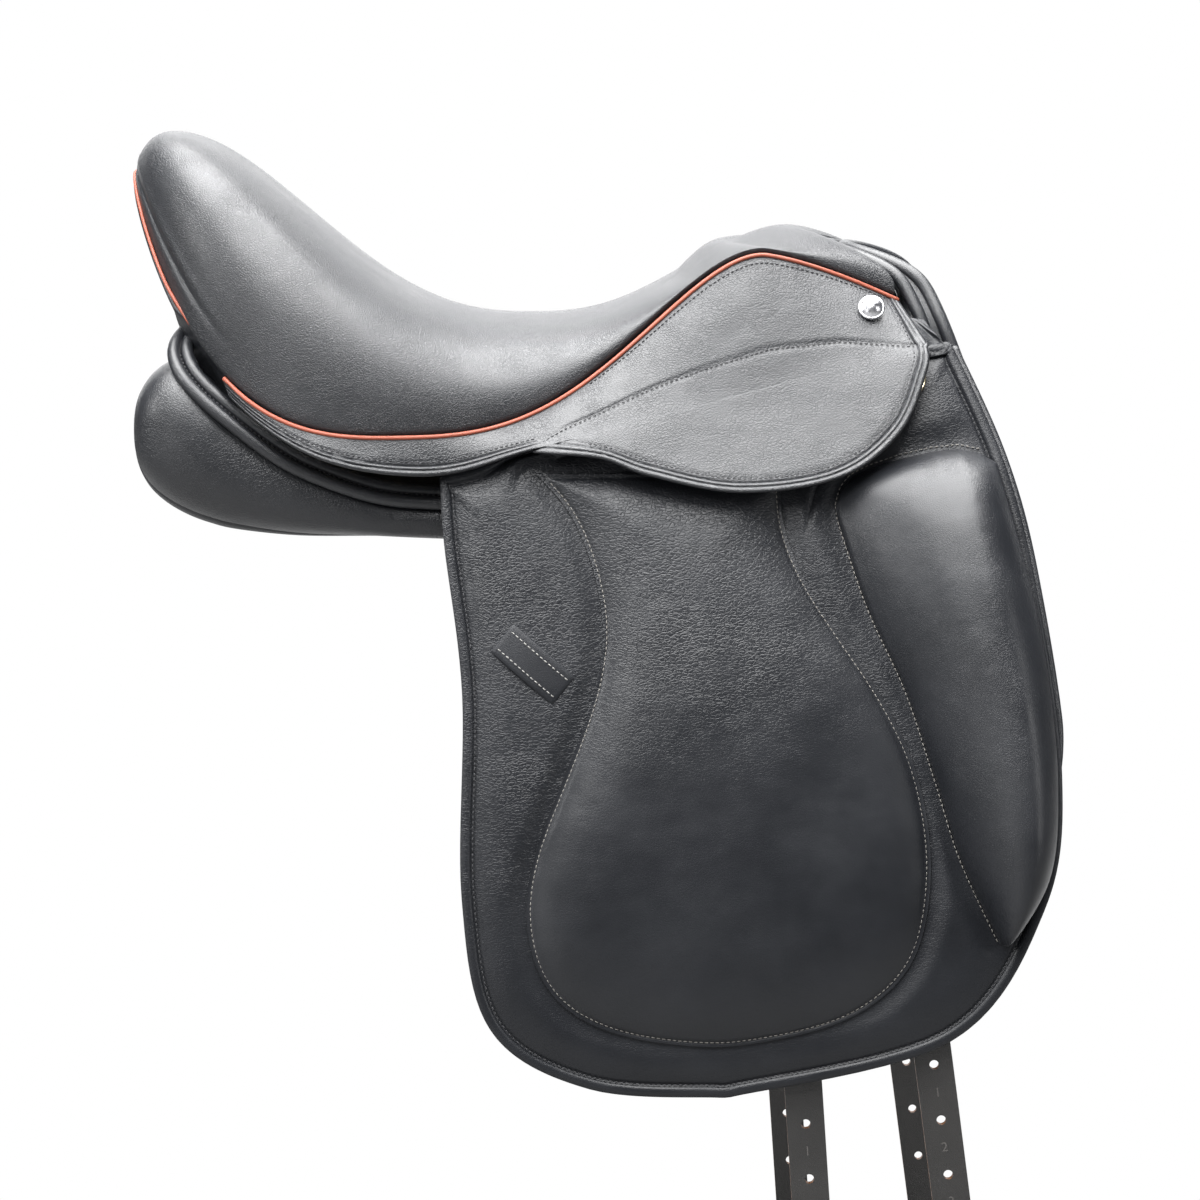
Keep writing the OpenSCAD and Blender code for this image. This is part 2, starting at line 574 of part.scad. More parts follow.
// Rolls and facing round the front arch
function roll_top(u, forward, drop) =
    let(s = abs(seat_point(1, u, 6).y) / half_of(welt_end_x, 0))
    seat_point(1, u, 6) + [forward + 3 * s * s, 0, -drop];
near_leg = [
    [welt_end_x + 17, pommel_width / 2 - 5, welt_end_z - 20], [welt_end_x + 22, pommel_width / 2, welt_end_z - 44]];
far_leg = [
    [welt_end_x + 30, pommel_width / 2 - 3, welt_end_z - 22], [welt_end_x + 42, pommel_width / 2 + 4, welt_end_z - 54]];
function flipped(p) = [p.x, -p.y, p.z];
function roll_path(forward, drop, leg) = concat(
    [for (k = [1:-1:0]) flipped(leg[k])],
    [for (k = [-5:5]) roll_top(k / 5.5, forward, drop)], leg);
module front_rolls() {
    steps = 28;
    color([0.06, 0.06, 0.065]) {
        cord([for (i = [0:steps]) along(roll_path(front_roll_d / 2 + 1.2, 0, near_leg), i / steps)], front_roll_d, 8);
        cord([for (i = [0:steps])
            along(roll_path(1.5 * front_roll_d + 6, 1, far_leg), i / steps)], front_roll_d, 8);
    }
}
module pommel_facing() {
    cols = 14;
    depths = [12, 18, 24, 29];
    face = [for (d = depths) [for (j = [0:cols]) seat_point(1, mix(-0.9, 0.9, j / cols), d) + [1, 0, 0]]];
    color([0.05, 0.05, 0.055])
        sheet([for (r = face) [for (p = r) p + [2.5, 0, 0]]], face);
}

// Lining over the channel, from one panel to the other
lining_angle = -186;
lining_t = 2;
function lining_row(t, d) =
    let(e = panel_point(t, lining_angle, -d))
    [for (j = [-2:2]) [e.x, e.y * j / 2, e.z + 0.6 * (4 - j * j)]];
module channel_lining() {
    rows = 18;
    spots = [for (i = [0:rows]) mix(3, 12, i / rows)];
    color([0.10, 0.10, 0.10])
        sheet([for (t = spots) lining_row(t, gap + lining_t)], [for (t = spots) lining_row(t, gap)]);
}

// Pocket on the panel that holds the lower end of the tree's point
module point_pocket() {
    face = [for (i = [0:4]) [for (j = [0:3])
        let(z = mix(30, -4, j / 3)) [mix(153, 179, i / 4), plate_y(z) + 0.5, z]]];
    color([0.07, 0.07, 0.07])
        sheet([for (r = face) [for (p = r) p + [0, 2, 0]]], face);
}

// Girth straps: flat where they are sewn, then along the inside of the flap, then straight down
function strap_y(x, lean, s) =
    flap_y(x + s * sin(lean), billet_top - s * cos(lean)) - flap_t - billet_gap - billet_t;
module on_strap(x, lean)
    translate([x, 0, billet_top])
        rotate([0, -lean, 0])
            children();
module billet(x, lean, length, first) {
    hang = (billet_top - flap_end) / cos(lean);
    face = concat(
        [for (s = [-billet_sewn, billet_flat]) [strap_y(x, lean, -billet_sewn), -s]],
        [for (s = [36, 66, 105, 155, 210, 270, hang, length]) [strap_y(x, lean, min(s, hang)), -s]]);
    back = [for (k = [len(face) - 1:-1:0]) face[k] + [billet_t, 0]];
    half = billet_w / 2;
    holes = [for (s = [first:billet_pitch:length - 30]) s];
    color([0.07, 0.065, 0.06])
        on_strap(x, lean)
            difference() {
                intersection() {
                    rotate([90, 0, 90])
                        linear_extrude(height = billet_w, center = true) polygon(concat(face, back));
                    translate([0, flap_spread + 20, 0])
                        rotate([90, 0, 0])
                            linear_extrude(height = flap_spread)
                                polygon([[-half, billet_sewn], [half, billet_sewn], [half, 14 - length],
                                    [5, -length], [-5, -length], [-half, 14 - length]]);
                }
                for (s = holes)
                    translate([0, flap_spread - flap_t - billet_gap - billet_t / 2, -s]) shank(billet_hole_d);
            }
}
front_first = 323;
rear_first = 356;
module front_billet() billet(front_billet_x, front_billet_lean, front_billet_length, front_first);
module rear_billet() billet(rear_billet_x, rear_billet_lean, rear_billet_length, rear_first);

// Webs that the straps are sewn to, nailed to the tree's side plate
module web_strap(x, lean) {
    out = strap_y(x, lean, -billet_sewn) - gap;
    t = 2;
    z0 = billet_top;
    color([0.80, 0.76, 0.66])
        translate([x, 0, 0])
            rotate([90, 0, 90])
                linear_extrude(height = billet_w + 4, center = true)
                    polygon([
                        [plate_y(z0 + 19) + gap, z0 + 19], [plate_y(z0 + 14) + gap, z0 + 14],
                        [out - t, z0 + 8], [out - t, z0 - 8], [out, z0 - 8], [out, z0 + 10],
                        [plate_y(z0 + 19) + gap + t, z0 + 19]]);
}
module billet_webs() {
    web_strap(front_billet_x, front_billet_lean);
    web_strap(rear_billet_x, rear_billet_lean);
}

// Head stud through the front of the skirt
stud_x = welt_end_x - 16;
module stud() {
    p = mix(welt_point(stud_x, piping_d + 2 * gap, 1.5), skirt_low(stud_x + 8), 0.3);
    lean = 30;
    color([0.80, 0.80, 0.82])
        translate(p + [0, 6.4, 0])
            rotate([lean, 0, 0])
                rotate([-90, 0, 0]) {
                    intersection() {
                        translate([0, 0, 5.2 - stud_d]) sphere(d = 2 * stud_d);
                        cylinder(d = stud_d, h = stud_d);
                    }
                }
}

// Front dee hanging in its chape on the flap
dee_x = lobe_nose - 15;
dee_z = hinge_at(dee_x).z - 17;
dee_lean = 26;
dee_out = 4;
module at_dee()
    translate([dee_x, flap_y(dee_x, dee_z) + dee_out, dee_z])
        rotate([dee_lean, 0, 0])
            children();
module dee()
    color([0.80, 0.76, 0.66])
        at_dee()
            rotate([90, 0, 0])
                rotate_extrude()
                    translate([(dee_d - dee_wire) / 2, 0]) circle(d = dee_wire);
module dee_chape()
    color([0.07, 0.07, 0.07])
        at_dee()
            translate([0, 0, (dee_d - dee_wire) / 2])
                difference() {
                    union() {
                        rotate([0, 90, 0]) cylinder(d = dee_wire + 3, h = 11, center = true);
                        translate([-5.5, -(dee_wire + 3) / 2, 0]) cube([11, 2.5, 6]);
                    }
                    rotate([0, 90, 0]) cylinder(d = dee_wire + 0.5, h = 20, center = true);
                    translate([0, 0, -(dee_d - dee_wire) / 2])
                        rotate([90, 0, 0])
                            rotate_extrude()
                                translate([(dee_d - dee_wire) / 2, 0]) circle(d = dee_wire + 1);
                }

single = [
    "tree", "gullet_plate", "strainer_webs", "belly_web", "seat_foam", "seat_cover", "cantle_piping",
    "cantle_back", "pommel_facing", "front_rolls", "channel_lining"];
paired = [
    "tree_point", "stirrup_bar", "bar_rivets", "bar_catch", "catch_pin", "welt", "skirt_top", "skirt_lobe", "stud", "flap_head", "flap",
    "knee_block", "thigh_pad", "keeper", "dee", "dee_chape", "panel_leather", "panel_lining", "panel_wool",
    "point_pocket", "back_rolls", "front_billet", "rear_billet", "billet_webs"];
NODES = concat(single, [for (name = paired, side = sides) str(name, "_", side)]);
node = "all";
function wanted(name) = node == "all" || node == name;
module to(side) mirror([0, side == "right" ? 1 : 0, 0]) children();

if (wanted("tree")) tree();
if (wanted("gullet_plate")) gullet_plate();
if (wanted("strainer_webs")) strainer_webs();
if (wanted("belly_web")) belly_web();
if (wanted("seat_foam")) seat_foam();
if (wanted("seat_cover")) seat_cover();
if (wanted("cantle_piping")) cantle_piping();
if (wanted("cantle_back")) cantle_back();
if (wanted("pommel_facing")) pommel_facing();
if (wanted("front_rolls")) front_rolls();
if (wanted("channel_lining")) channel_lining();
for (side = sides) {
    if (wanted(str("tree_point_", side))) to(side) tree_point();
    if (wanted(str("stirrup_bar_", side))) to(side) stirrup_bar();
    if (wanted(str("bar_rivets_", side))) to(side) bar_rivets();
    if (wanted(str("bar_catch_", side))) to(side) bar_catch();
    if (wanted(str("catch_pin_", side))) to(side) catch_pin();
    if (wanted(str("welt_", side))) to(side) welt();
    if (wanted(str("skirt_top_", side))) to(side) skirt_top();
    if (wanted(str("skirt_lobe_", side))) to(side) skirt_lobe();
    if (wanted(str("stud_", side))) to(side) stud();
    if (wanted(str("flap_head_", side))) to(side) flap_head();
    if (wanted(str("flap_", side))) to(side) flap();
    if (wanted(str("knee_block_", side))) to(side) knee_block();
    if (wanted(str("thigh_pad_", side))) to(side) thigh_pad();
    if (wanted(str("keeper_", side))) to(side) keeper();
    if (wanted(str("dee_", side))) to(side) dee();
    if (wanted(str("dee_chape_", side))) to(side) dee_chape();
    if (wanted(str("panel_leather_", side))) to(side) panel_leather_skin();
    if (wanted(str("panel_lining_", side))) to(side) panel_lining();
    if (wanted(str("panel_wool_", side))) to(side) panel_wool();
    if (wanted(str("point_pocket_", side))) to(side) point_pocket();
    if (wanted(str("back_rolls_", side))) to(side) back_rolls();
    if (wanted(str("front_billet_", side))) to(side) front_billet();
    if (wanted(str("rear_billet_", side))) to(side) rear_billet();
    if (wanted(str("billet_webs_", side))) to(side) billet_webs();
}
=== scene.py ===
import math
import bpy
import numpy as np
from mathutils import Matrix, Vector


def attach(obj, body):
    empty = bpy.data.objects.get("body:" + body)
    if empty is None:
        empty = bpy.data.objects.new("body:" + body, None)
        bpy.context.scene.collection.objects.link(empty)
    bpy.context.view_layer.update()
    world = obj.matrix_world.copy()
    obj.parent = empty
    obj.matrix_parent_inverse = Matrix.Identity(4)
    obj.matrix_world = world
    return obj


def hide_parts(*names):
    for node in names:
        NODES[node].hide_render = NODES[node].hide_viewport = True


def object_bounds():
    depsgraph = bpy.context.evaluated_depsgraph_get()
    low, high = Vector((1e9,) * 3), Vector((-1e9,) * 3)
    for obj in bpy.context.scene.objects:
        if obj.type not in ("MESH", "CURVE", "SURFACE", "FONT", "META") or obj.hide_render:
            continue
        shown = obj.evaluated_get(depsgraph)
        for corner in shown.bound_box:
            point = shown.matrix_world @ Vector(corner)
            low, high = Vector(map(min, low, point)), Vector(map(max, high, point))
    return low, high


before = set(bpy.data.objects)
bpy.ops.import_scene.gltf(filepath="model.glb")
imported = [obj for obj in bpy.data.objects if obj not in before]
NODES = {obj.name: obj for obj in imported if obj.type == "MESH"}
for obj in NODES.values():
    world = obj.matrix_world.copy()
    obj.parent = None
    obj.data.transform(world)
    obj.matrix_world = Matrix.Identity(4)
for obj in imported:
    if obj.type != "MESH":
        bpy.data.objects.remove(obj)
cad_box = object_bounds()
scene = bpy.context.scene
SIDES = (("left", 1.0), ("right", -1.0))
MM = 0.001

# Sizes in millimetres, as in the part's source
seat_height, seat_back, seat_front = 125.0, 219.0, 156.0
cantle_rise, pommel_rise, cantle_roll = 111.0, 54.0, 21.0
seat_width, pommel_width = 280.0, 146.0
cover_t, foam_t, piping_d = 3.0, 14.0, 4.0
skirt_t, lobe_drop, lobe_lean = 4.0, 54.0, 0.6
flap_t, flap_length, flap_heel, flap_reach, flap_spread, flap_set_in = 5.0, 356.0, 37.0, 311.0, 208.0, 14.0
block_height = 46.0
keeper_length, keeper_width, keeper_t = 46.0, 20.0, 3.0
panel_depth, panel_back_height, panel_offset = 32.0, 86.0, 77.0
back_roll_d, front_roll_d = 8.0, 8.0
billet_pitch, billet_top, billet_face = 33.0, 22.0, 199.0
gap = 0.3
cantle_z, pommel_z = seat_height + cantle_rise, seat_height + pommel_rise
seat_rear, nose_x, nose_skew, nose_drop = -seat_back - cantle_roll, seat_front + 18, 45.0, 6.0
wide_x = -seat_back / 2
welt_low_x, welt_low_z = -74.0, seat_height - 59
welt_crest_x, welt_crest_z = seat_front - 16, pommel_z - 10
welt_end_x, welt_end_z = nose_x + nose_skew, welt_crest_z - 26
rim_z = cantle_z - 31
tree_in = cover_t + foam_t
hinge_a = np.array([-51.0, seat_width / 2 + 6, welt_low_z - 25])
hinge_b = np.array([welt_end_x + 28, pommel_width / 2 + 24, welt_end_z - 27])
flap_end, flap_mid, flap_bow = hinge_a[2] - flap_length, 115.0, 1.8
plate_slope = 0.343

# Sizes of the render alone: cords, seams and numbers
cantle_cord_d, welt_cord_d, flap_cord_d = 2.1, 2.6, 5.0
cantle_lift, crease_in = 10, 13.5
hem_seam, border_seam, pad_seam = 8.2, 7.2, 2.4
number_size, number_relief = 8.0, 0.15

# Angles in degrees: ends of the cantle's cord and back from its middle, and where shading breaks at an edge
cantle_cord_end, cantle_back_end = 49, 60
sharp_angle, bevel_angle = 62, 50


# Lines and curves
def vec(*v):
    return np.array(v, float)


def smooth(t):
    """Eased step from 0 to 1."""
    c = min(max(t, 0.0), 1.0)
    return c * c * (3 - 2 * c)


def mix(a, b, t):
    return a + (b - a) * t


def steps(a, b, n):
    """Even values from a to b, with n gaps between them."""
    return [mix(a, b, i / n) for i in range(n + 1)]


def along(p, t):
    """Place on a smooth curve through the points, for t from 0 to 1."""
    p = np.asarray(p, float)
    s = t * (len(p) - 1)
    k = min(max(int(math.floor(s)), 0), len(p) - 2)
    f = s - k
    a, b, c, d = p[max(k - 1, 0)], p[k], p[k + 1], p[min(k + 2, len(p) - 1)]
    return b + 0.5 * f * (c - a + f * (2 * a - 5 * b + 4 * c - d + f * (3 * (b - c) + d - a)))


def lengths(path):
    """Length run along a path up to each of its points."""
    return np.concatenate([[0], np.cumsum(np.linalg.norm(np.diff(path, axis=0), axis=1))])


def at_length(path, run, s):
    return np.stack([np.interp(s, run, path[:, k]) for k in range(path.shape[1])], axis=-1)


def even(path, n, closed=False):
    """The same path with n points at even distances."""
    path = np.asarray(path, float)
    if closed:
        path = np.vstack([path, path[:1]])
    run = lengths(path)
    at = np.linspace(0, run[-1], n + 1)[:-1] if closed else np.linspace(0, run[-1], n)
    return at_length(path, run, at)


def ironed(path, passes):
    """A line with its corners rounded by repeated averaging."""
    path = np.array(path, float)
    for _ in range(passes):
        new = (np.roll(path, 1, axis=0) + 2 * path + np.roll(path, -1, axis=0)) / 4
        new[0], new[-1] = path[0], path[-1]
        path = new
    return path


def unit(v):
    v = np.asarray(v, float)
    return v / np.maximum(np.linalg.norm(v, axis=-1, keepdims=True), 1e-9)


def beside(path, offset):
    """The line at a distance to the left of a flat path."""
    tan = unit(np.gradient(path, axis=0))
    return path + np.stack([-tan[:, 1], tan[:, 0]], axis=1) * offset


def distance(line, p):
    return np.sqrt(((line - p) ** 2).sum(axis=1)).min()


def hump(x, at, width):
    return math.exp(-((x - at) / width) ** 2)


def bead(d, start, width, height):
    """Half round of the given width, 0 outside it."""
    t = (d - start) / width
    return height * math.sqrt(max(0.0, 1 - (2 * t - 1) ** 2)) if 0 < t < 1 else 0.0


def dent(d, at, width, depth):
    return -depth * hump(d, at, width)


# Form of the seat
def welt_of(x):
    """Height of the seam between seat and skirt."""
    if x < welt_low_x:
        return welt_low_z + (rim_z - welt_low_z) * ((welt_low_x - x) / (welt_low_x - seat_rear)) ** 2.95
    if x < welt_crest_x:
        return mix(welt_low_z, welt_crest_z, smooth(((x - welt_low_x) / (welt_crest_x - welt_low_x)) ** 1.5))
    return mix(welt_crest_z, welt_end_z, ((x - welt_crest_x) / (welt_end_x - welt_crest_x)) ** 1.4)


def crest_of(x, d):
    """Height of the seat's middle line, d under the surface."""
    back, roll, low = seat_back - 0.8 * d, cantle_roll - 0.2 * d, welt_of(seat_rear + d)
    if x < -back:
        return low + (cantle_z - d - low) * math.sqrt(max(0, 1 - ((x + back) / roll) ** 2))
    if x < 0:
        return seat_height - d + cantle_rise * smooth((-x / back) ** 1.3)
    if x < seat_front:
        return seat_height - d + pommel_rise * smooth((x / seat_front) ** 1.35)
    return pommel_z - d - nose_drop * ((x - seat_front) / (nose_x - seat_front)) ** 2


def half_of(x, d):
    """Half width of the seat, d under the surface."""
    if x < wide_x:
        return (seat_width / 2 - d) * math.sqrt(max(0, 1 - ((x - wide_x) / (wide_x - seat_rear - d)) ** 2))
    w = mix(seat_width, pommel_width, smooth((x - wide_x) / (seat_front - wide_x))) / 2 - d
    return w - 8 * max(0, (x - seat_front) / (welt_end_x - seat_front))


def edge_drop(x, d):
    return max(d - cover_t, 0) * smooth((x - 20) / 60)


def seat_point(t, u, d):
    """Point d under the seat's surface, t from back to front and u from side to side."""
    f = 0.45 * t + 0.55 * (1 - math.cos(math.pi * t)) / 2
    xm = mix(seat_rear + d + 0.8, nose_x, f)
    xe = xm + nose_skew * smooth((xm - 60) / (nose_x - 60))
    n = 2 / (2.3 + 0.9 * smooth(-xm / 150))
    s = abs(math.sin(math.pi / 2 * u)) ** n
    c = max(math.cos(math.pi / 2 * u), 0) ** n
    low = welt_of(xe) - edge_drop(xm, d)
    high = max(crest_of(xm, d), low + 1)
    return vec(mix(xm, xe, s * s), math.copysign(1, u) * s * max(half_of(xe, d), 3), low + (high - low) * c)


def welt_point(x, down, out):
    a = math.atan2(welt_of(x + 1) - welt_of(x - 1), 2)
    return vec(x + down * math.sin(a), half_of(x, 0) + out, welt_of(x) - down * math.cos(a))


def rim_point(a, down, out):
    """Point on the seat's back edge, at an angle from its middle."""
    r = math.radians(a)
    x = wide_x - (wide_x - seat_rear) * math.cos(r)
    return vec(x - out * math.cos(r), (seat_width / 2 + out) * math.sin(r), welt_of(x) - down)


# Form of flap and skirt
def hinge_at(x):
    return hinge_a + (hinge_b - hinge_a) * (x - hinge_a[0]) / (hinge_b[0] - hinge_a[0])


def flap_y(x, z):
    h = hinge_at(x)
    t = min(max((h[2] - z) / (h[2] - flap_end), 0), 1)
    top = h[1] - flap_set_in
    return top + (flap_spread - top) * (1 - (1 - t) ** flap_bow)


def flap_normal(x, z):
    dx = (flap_y(x + 1, z) - flap_y(x - 1, z)) / 2
    dz = (flap_y(x, z + 1) - flap_y(x, z - 1)) / 2
    return unit(vec(-dx, 1, -dz))


def on_flap(x, z, out):
    return vec(x, flap_y(x, z) + out, z)


def raised(x, z, h):
    return on_flap(x, z, 0) + flap_normal(x, z) * h


def head_top(x, up):
    """Upper edge of the flap's fixed part."""
    return vec(x, half_of(x, tree_in - flap_t) - 2 * gap, welt_of(x) - edge_drop(x, tree_in + 1) + up)


heel_line = [
    [hinge_a[0], hinge_a[2] - 2], [hinge_a[0] + 3, hinge_a[2] - 41], [-flap_heel, hinge_a[2] - 126],
    [-flap_heel, flap_end + 115], [-flap_heel + 17, flap_end + 39], [-flap_heel + 74, flap_end + 5],
    [flap_mid - 2, flap_end]]
flap_corner = vec(flap_reach, flap_end)
toe_line = np.vstack([
    vec(hinge_b[0], hinge_b[2]) + [[4, -2], [33, -68]],
    flap_corner + [[-14, 295], [0, 185], [-11, 108], [-65, 33]], [[flap_mid + 2, flap_end]]])
heel = [along(heel_line, t) for t in steps(0, 1, 60)]
toe = [along(toe_line, t) for t in steps(0, 1, 60)]
flap_centre = vec(130, -130)

# Outline of the knee block and the seam round it
block_back = flap_corner + [[-130, 334], [-112, 280], [-90, 232], [-73, 181], [-59, 137], [-37, 90]]
block_fore = flap_corner + [[-34, 360], [-19, 303], [-8, 247], [-3, 185], [-8, 130], [-33, 89]]


def block_crown(u):
    return np.interp(u, [0, 0.03, 0.09, 0.2, 0.4, 0.6, 0.77, 0.9, 1], [0, 9.5, 14.6, 17, 18, 17, 14, 8, 0])


block_top = [mix(block_back[0], block_fore[0], u) + vec(0, 2.5 + block_crown(u))
             for u in np.linspace(0.9, 0, 40)]
block_seam = even(block_top + [along(block_back, i / 120) + vec(-0.8, 0) for i in range(4, 121)], 260)

# Outline of the thigh pad
pad_back = [
    [5, 40], [26, 17], [40, -17], [45, -52], [38, -90], [21, -134], [5, -175], [0, -212], [9, -246],
    [30, -268], [65, -281], [112, -286]]
pad_fore = [
    [149, 39], [150, 12], [161, -18], [181, -49], [204, -82], [223, -118], [233, -158], [234, -196],
    [226, -232], [206, -257], [172, -275], [116, -286]]
pad_edge = ironed([along(pad_back, i / 240) for i in range(240)]
                  + [along(pad_fore, 1 - i / 240) for i in range(241)], 60)
pad_rear, pad_front = pad_edge[:241], pad_edge[:239:-1]
pad_outline = even(np.vstack([pad_edge, steps(pad_front[0], pad_rear[0], 30)[1:-1]]), 500, True)

# Outline of the skirt's lobe
skirt_tail, lobe_tail, lobe_nose, lobe_mid = -174.0, 4.0, hinge_b[0] - 11, 125
lobe_z = hinge_at(lobe_mid)[2]
lobe_line = [
    [lobe_tail, hinge_at(lobe_tail)[2] - 1.5], [43, lobe_z - 0.65 * lobe_drop],
    [72, lobe_z - 0.83 * lobe_drop], [lobe_mid, lobe_z - lobe_drop],
    [lobe_nose - 53, lobe_z - 0.85 * lobe_drop], [lobe_nose - 17, lobe_z - 0.38 * lobe_drop],
    [lobe_nose - 1, hinge_at(lobe_nose)[2] - 14], [lobe_nose, hinge_at(lobe_nose)[2] - 1.5]]


def skirt_low(x):
    """Lower edge of the skirt's upper part: its tail, then the bend line."""
    tail = vec(x, half_of(x, 0) + 3 + 6 * smooth((x - skirt_tail) / 60),
               welt_of(x) - 13 - 13 * smooth((x - skirt_tail) / 120))
    return mix(tail, hinge_at(x) + vec(0, 0, gap), smooth((x + 60) / 64))


# Form of the panel: rows of place, half width, half depth and tilt
front_tilt = 90 - math.degrees(math.atan(plate_slope))
panel_fore = [
    [-135, 0, 29, 48, 0.32 * panel_back_height, 6], [-86, 0, 20, 46, 0.5 * panel_depth, 12],
    [-30, 0, 19, 45, 0.47 * panel_depth, 16], [30, -2, 22, 47, 0.47 * panel_depth, 22],
    [70, -5, 28, 52, 0.5 * panel_depth, 34], [105, -8, 37, 60, 0.48 * panel_depth, 52],
    [140, -9, 46, 70, 0.46 * panel_depth, 66], [175, -9, 50, 74, 0.44 * panel_depth, front_tilt],
    [212, -8, 52, 72, 0.42 * panel_depth, front_tilt], [236, -7, 52, 62, 0.34 * panel_depth, front_tilt],
    [246, -7, 52, 0.1, 0.1, front_tilt]]
panel_rear = [
    [-235, 0, 62, 0.1, 0.1, 0], [-232, 0, 62, 24, 0.21 * panel_back_height, 0],
    [-223, 0, 62, 38, 0.39 * panel_back_height, 0], [-205, 0, 60, 46, 0.5 * panel_back_height, 0],
    [-172, 0, 42, 48, 0.46 * panel_back_height, 0]]
# A rounder back end, for the panel's skin
panel_round = [
    [-235, 0, 61, 0.1, 0.1, 0], [-234.3, 0, 61, 13, 9, 0], [-232.5, 0, 61.5, 23, 18, 0],
    [-229, 0, 61.2, 32, 26.2, 0], [-223, 0, 60.7, 39, 34.7, 0], [-214, 0, 59.7, 44, 41.7, 0],
    [-203, 0, 57, 47, 45.5, 0], [-190, 0, 51, 48, 44.5, 0], [-172, 0, 42, 48, 39.6, 0]]
panel_rows, panel_form = (np.array(rear + panel_fore) + vec(0, panel_offset, 0, 0, 0, 0)
                          for rear in (panel_rear, panel_round))


def panel_row(t, curved=False):
    rows = panel_form if curved else panel_rows
    k = min(int(t), len(rows) - 2)
    if curved and 1 < t < len(rows) - 2:
        return along(rows, t / (len(rows) - 1))
    return mix(rows[k], rows[k + 1], t - k)


def panel_point(t, a, d, curved=False):
    """Point d under the panel's surface, at row t and an angle round it."""
    x, y, z, wide, deep, tilt = panel_row(t, curved)
    ca, sa = math.cos(math.radians(a)), math.sin(math.radians(a))
    p = max(wide - d, 0.05) * math.copysign(abs(ca) ** 0.75, ca)
    q = max(deep - d, 0.05) * math.copysign(abs(sa) ** 0.75, sa)
    ct, st = math.cos(math.radians(tilt)), math.sin(math.radians(tilt))
    return vec(x, y + p * ct + q * st, z - p * st + q * ct)


# Rolls on the panel, by its rows and angles
roll_line = [
    [2.85, 120], [2.95, 92], [3.1, 66], [3.5, 50], [4.2, 43], [5, 42], [5.8, 49], [6.3, 52], [6.75, 54]]
roll_lift = 4 * gap


def roll_at(t, lift=roll_lift):
    row, angle = along(roll_line, t)
    return panel_point(row, angle, -back_roll_d / 2 - lift)


def roll_beside(t):
    p = roll_at(t)
    run = roll_at(t + 0.01, 0) - roll_at(t - 0.01, 0)
    out = unit(roll_at(t, 5) - p)
    return p + (back_roll_d + 2 * gap) * unit(np.cross(out, run)) + 0.8 * out


# Materials
def node(t, kind, inputs=None, **props):
    """A new shader node. Inputs are values or sockets to link."""
    n = t.nodes.new("ShaderNode" + kind)
    for k, v in props.items():
        setattr(n, k, v)
    for k, v in (inputs or {}).items():
        if isinstance(v, bpy.types.NodeSocket):
            t.links.new(v, n.inputs[k])
        else:
            n.inputs[k].default_value = v
    return n


def material(name):
    """A new material, with its tree, its shader and the place in object coordinates."""
    m = bpy.data.materials.new(name)
    m.use_nodes = True
    t = m.node_tree
    t.nodes.clear()
    b = node(t, "BsdfPrincipled")
    node(t, "OutputMaterial", {"Surface": b.outputs[0]})
    return m, t, b, node(t, "TexCoord").outputs["Object"]


def math_node(t, op, a, b=None):
    return node(t, "Math", {0: a} if b is None else {0: a, 1: b}, operation=op).outputs[0]


def product(t, a, b):
    return math_node(t, "MULTIPLY", a, b)


def ramp(t, value, a, b, low, high):
    """Value from a to b while the input runs from low to high."""
    return node(t, "MapRange", {"Value": value, "From Min": low, "From Max": high,
                                          "To Min": a, "To Max": b}).outputs["Result"]


def cloud(t, place, scale, detail, rough=0.5):
    return node(t, "TexNoise", {"Vector": place, "Scale": scale, "Detail": detail,
                                          "Roughness": rough}).outputs["Fac"]


def scaled(t, place, scale):
    return node(t, "Mapping", {"Vector": place, "Scale": scale}).outputs[0]


def tint(t, b, factor, low, high):
    """Base colour between two tones."""
    tone = node(t, "Mix", {"Factor": factor, 6: low, 7: high}, data_type="RGBA")
    t.links.new(tone.outputs[2], b.inputs["Base Color"])


def shaded(colour, k, lift=0.0):
    return (*[min(1, c * k + lift) for c in colour], 1)


def emboss(t, b, height, distance, strength=1.0, under=None):
    bump = node(t, "Bump", {"Strength": strength, "Distance": distance, "Height": height})
    if under is not None:
        t.links.new(under, bump.inputs["Normal"])
    t.links.new(bump.outputs[0], b.inputs["Normal"])
    return bump.outputs[0]


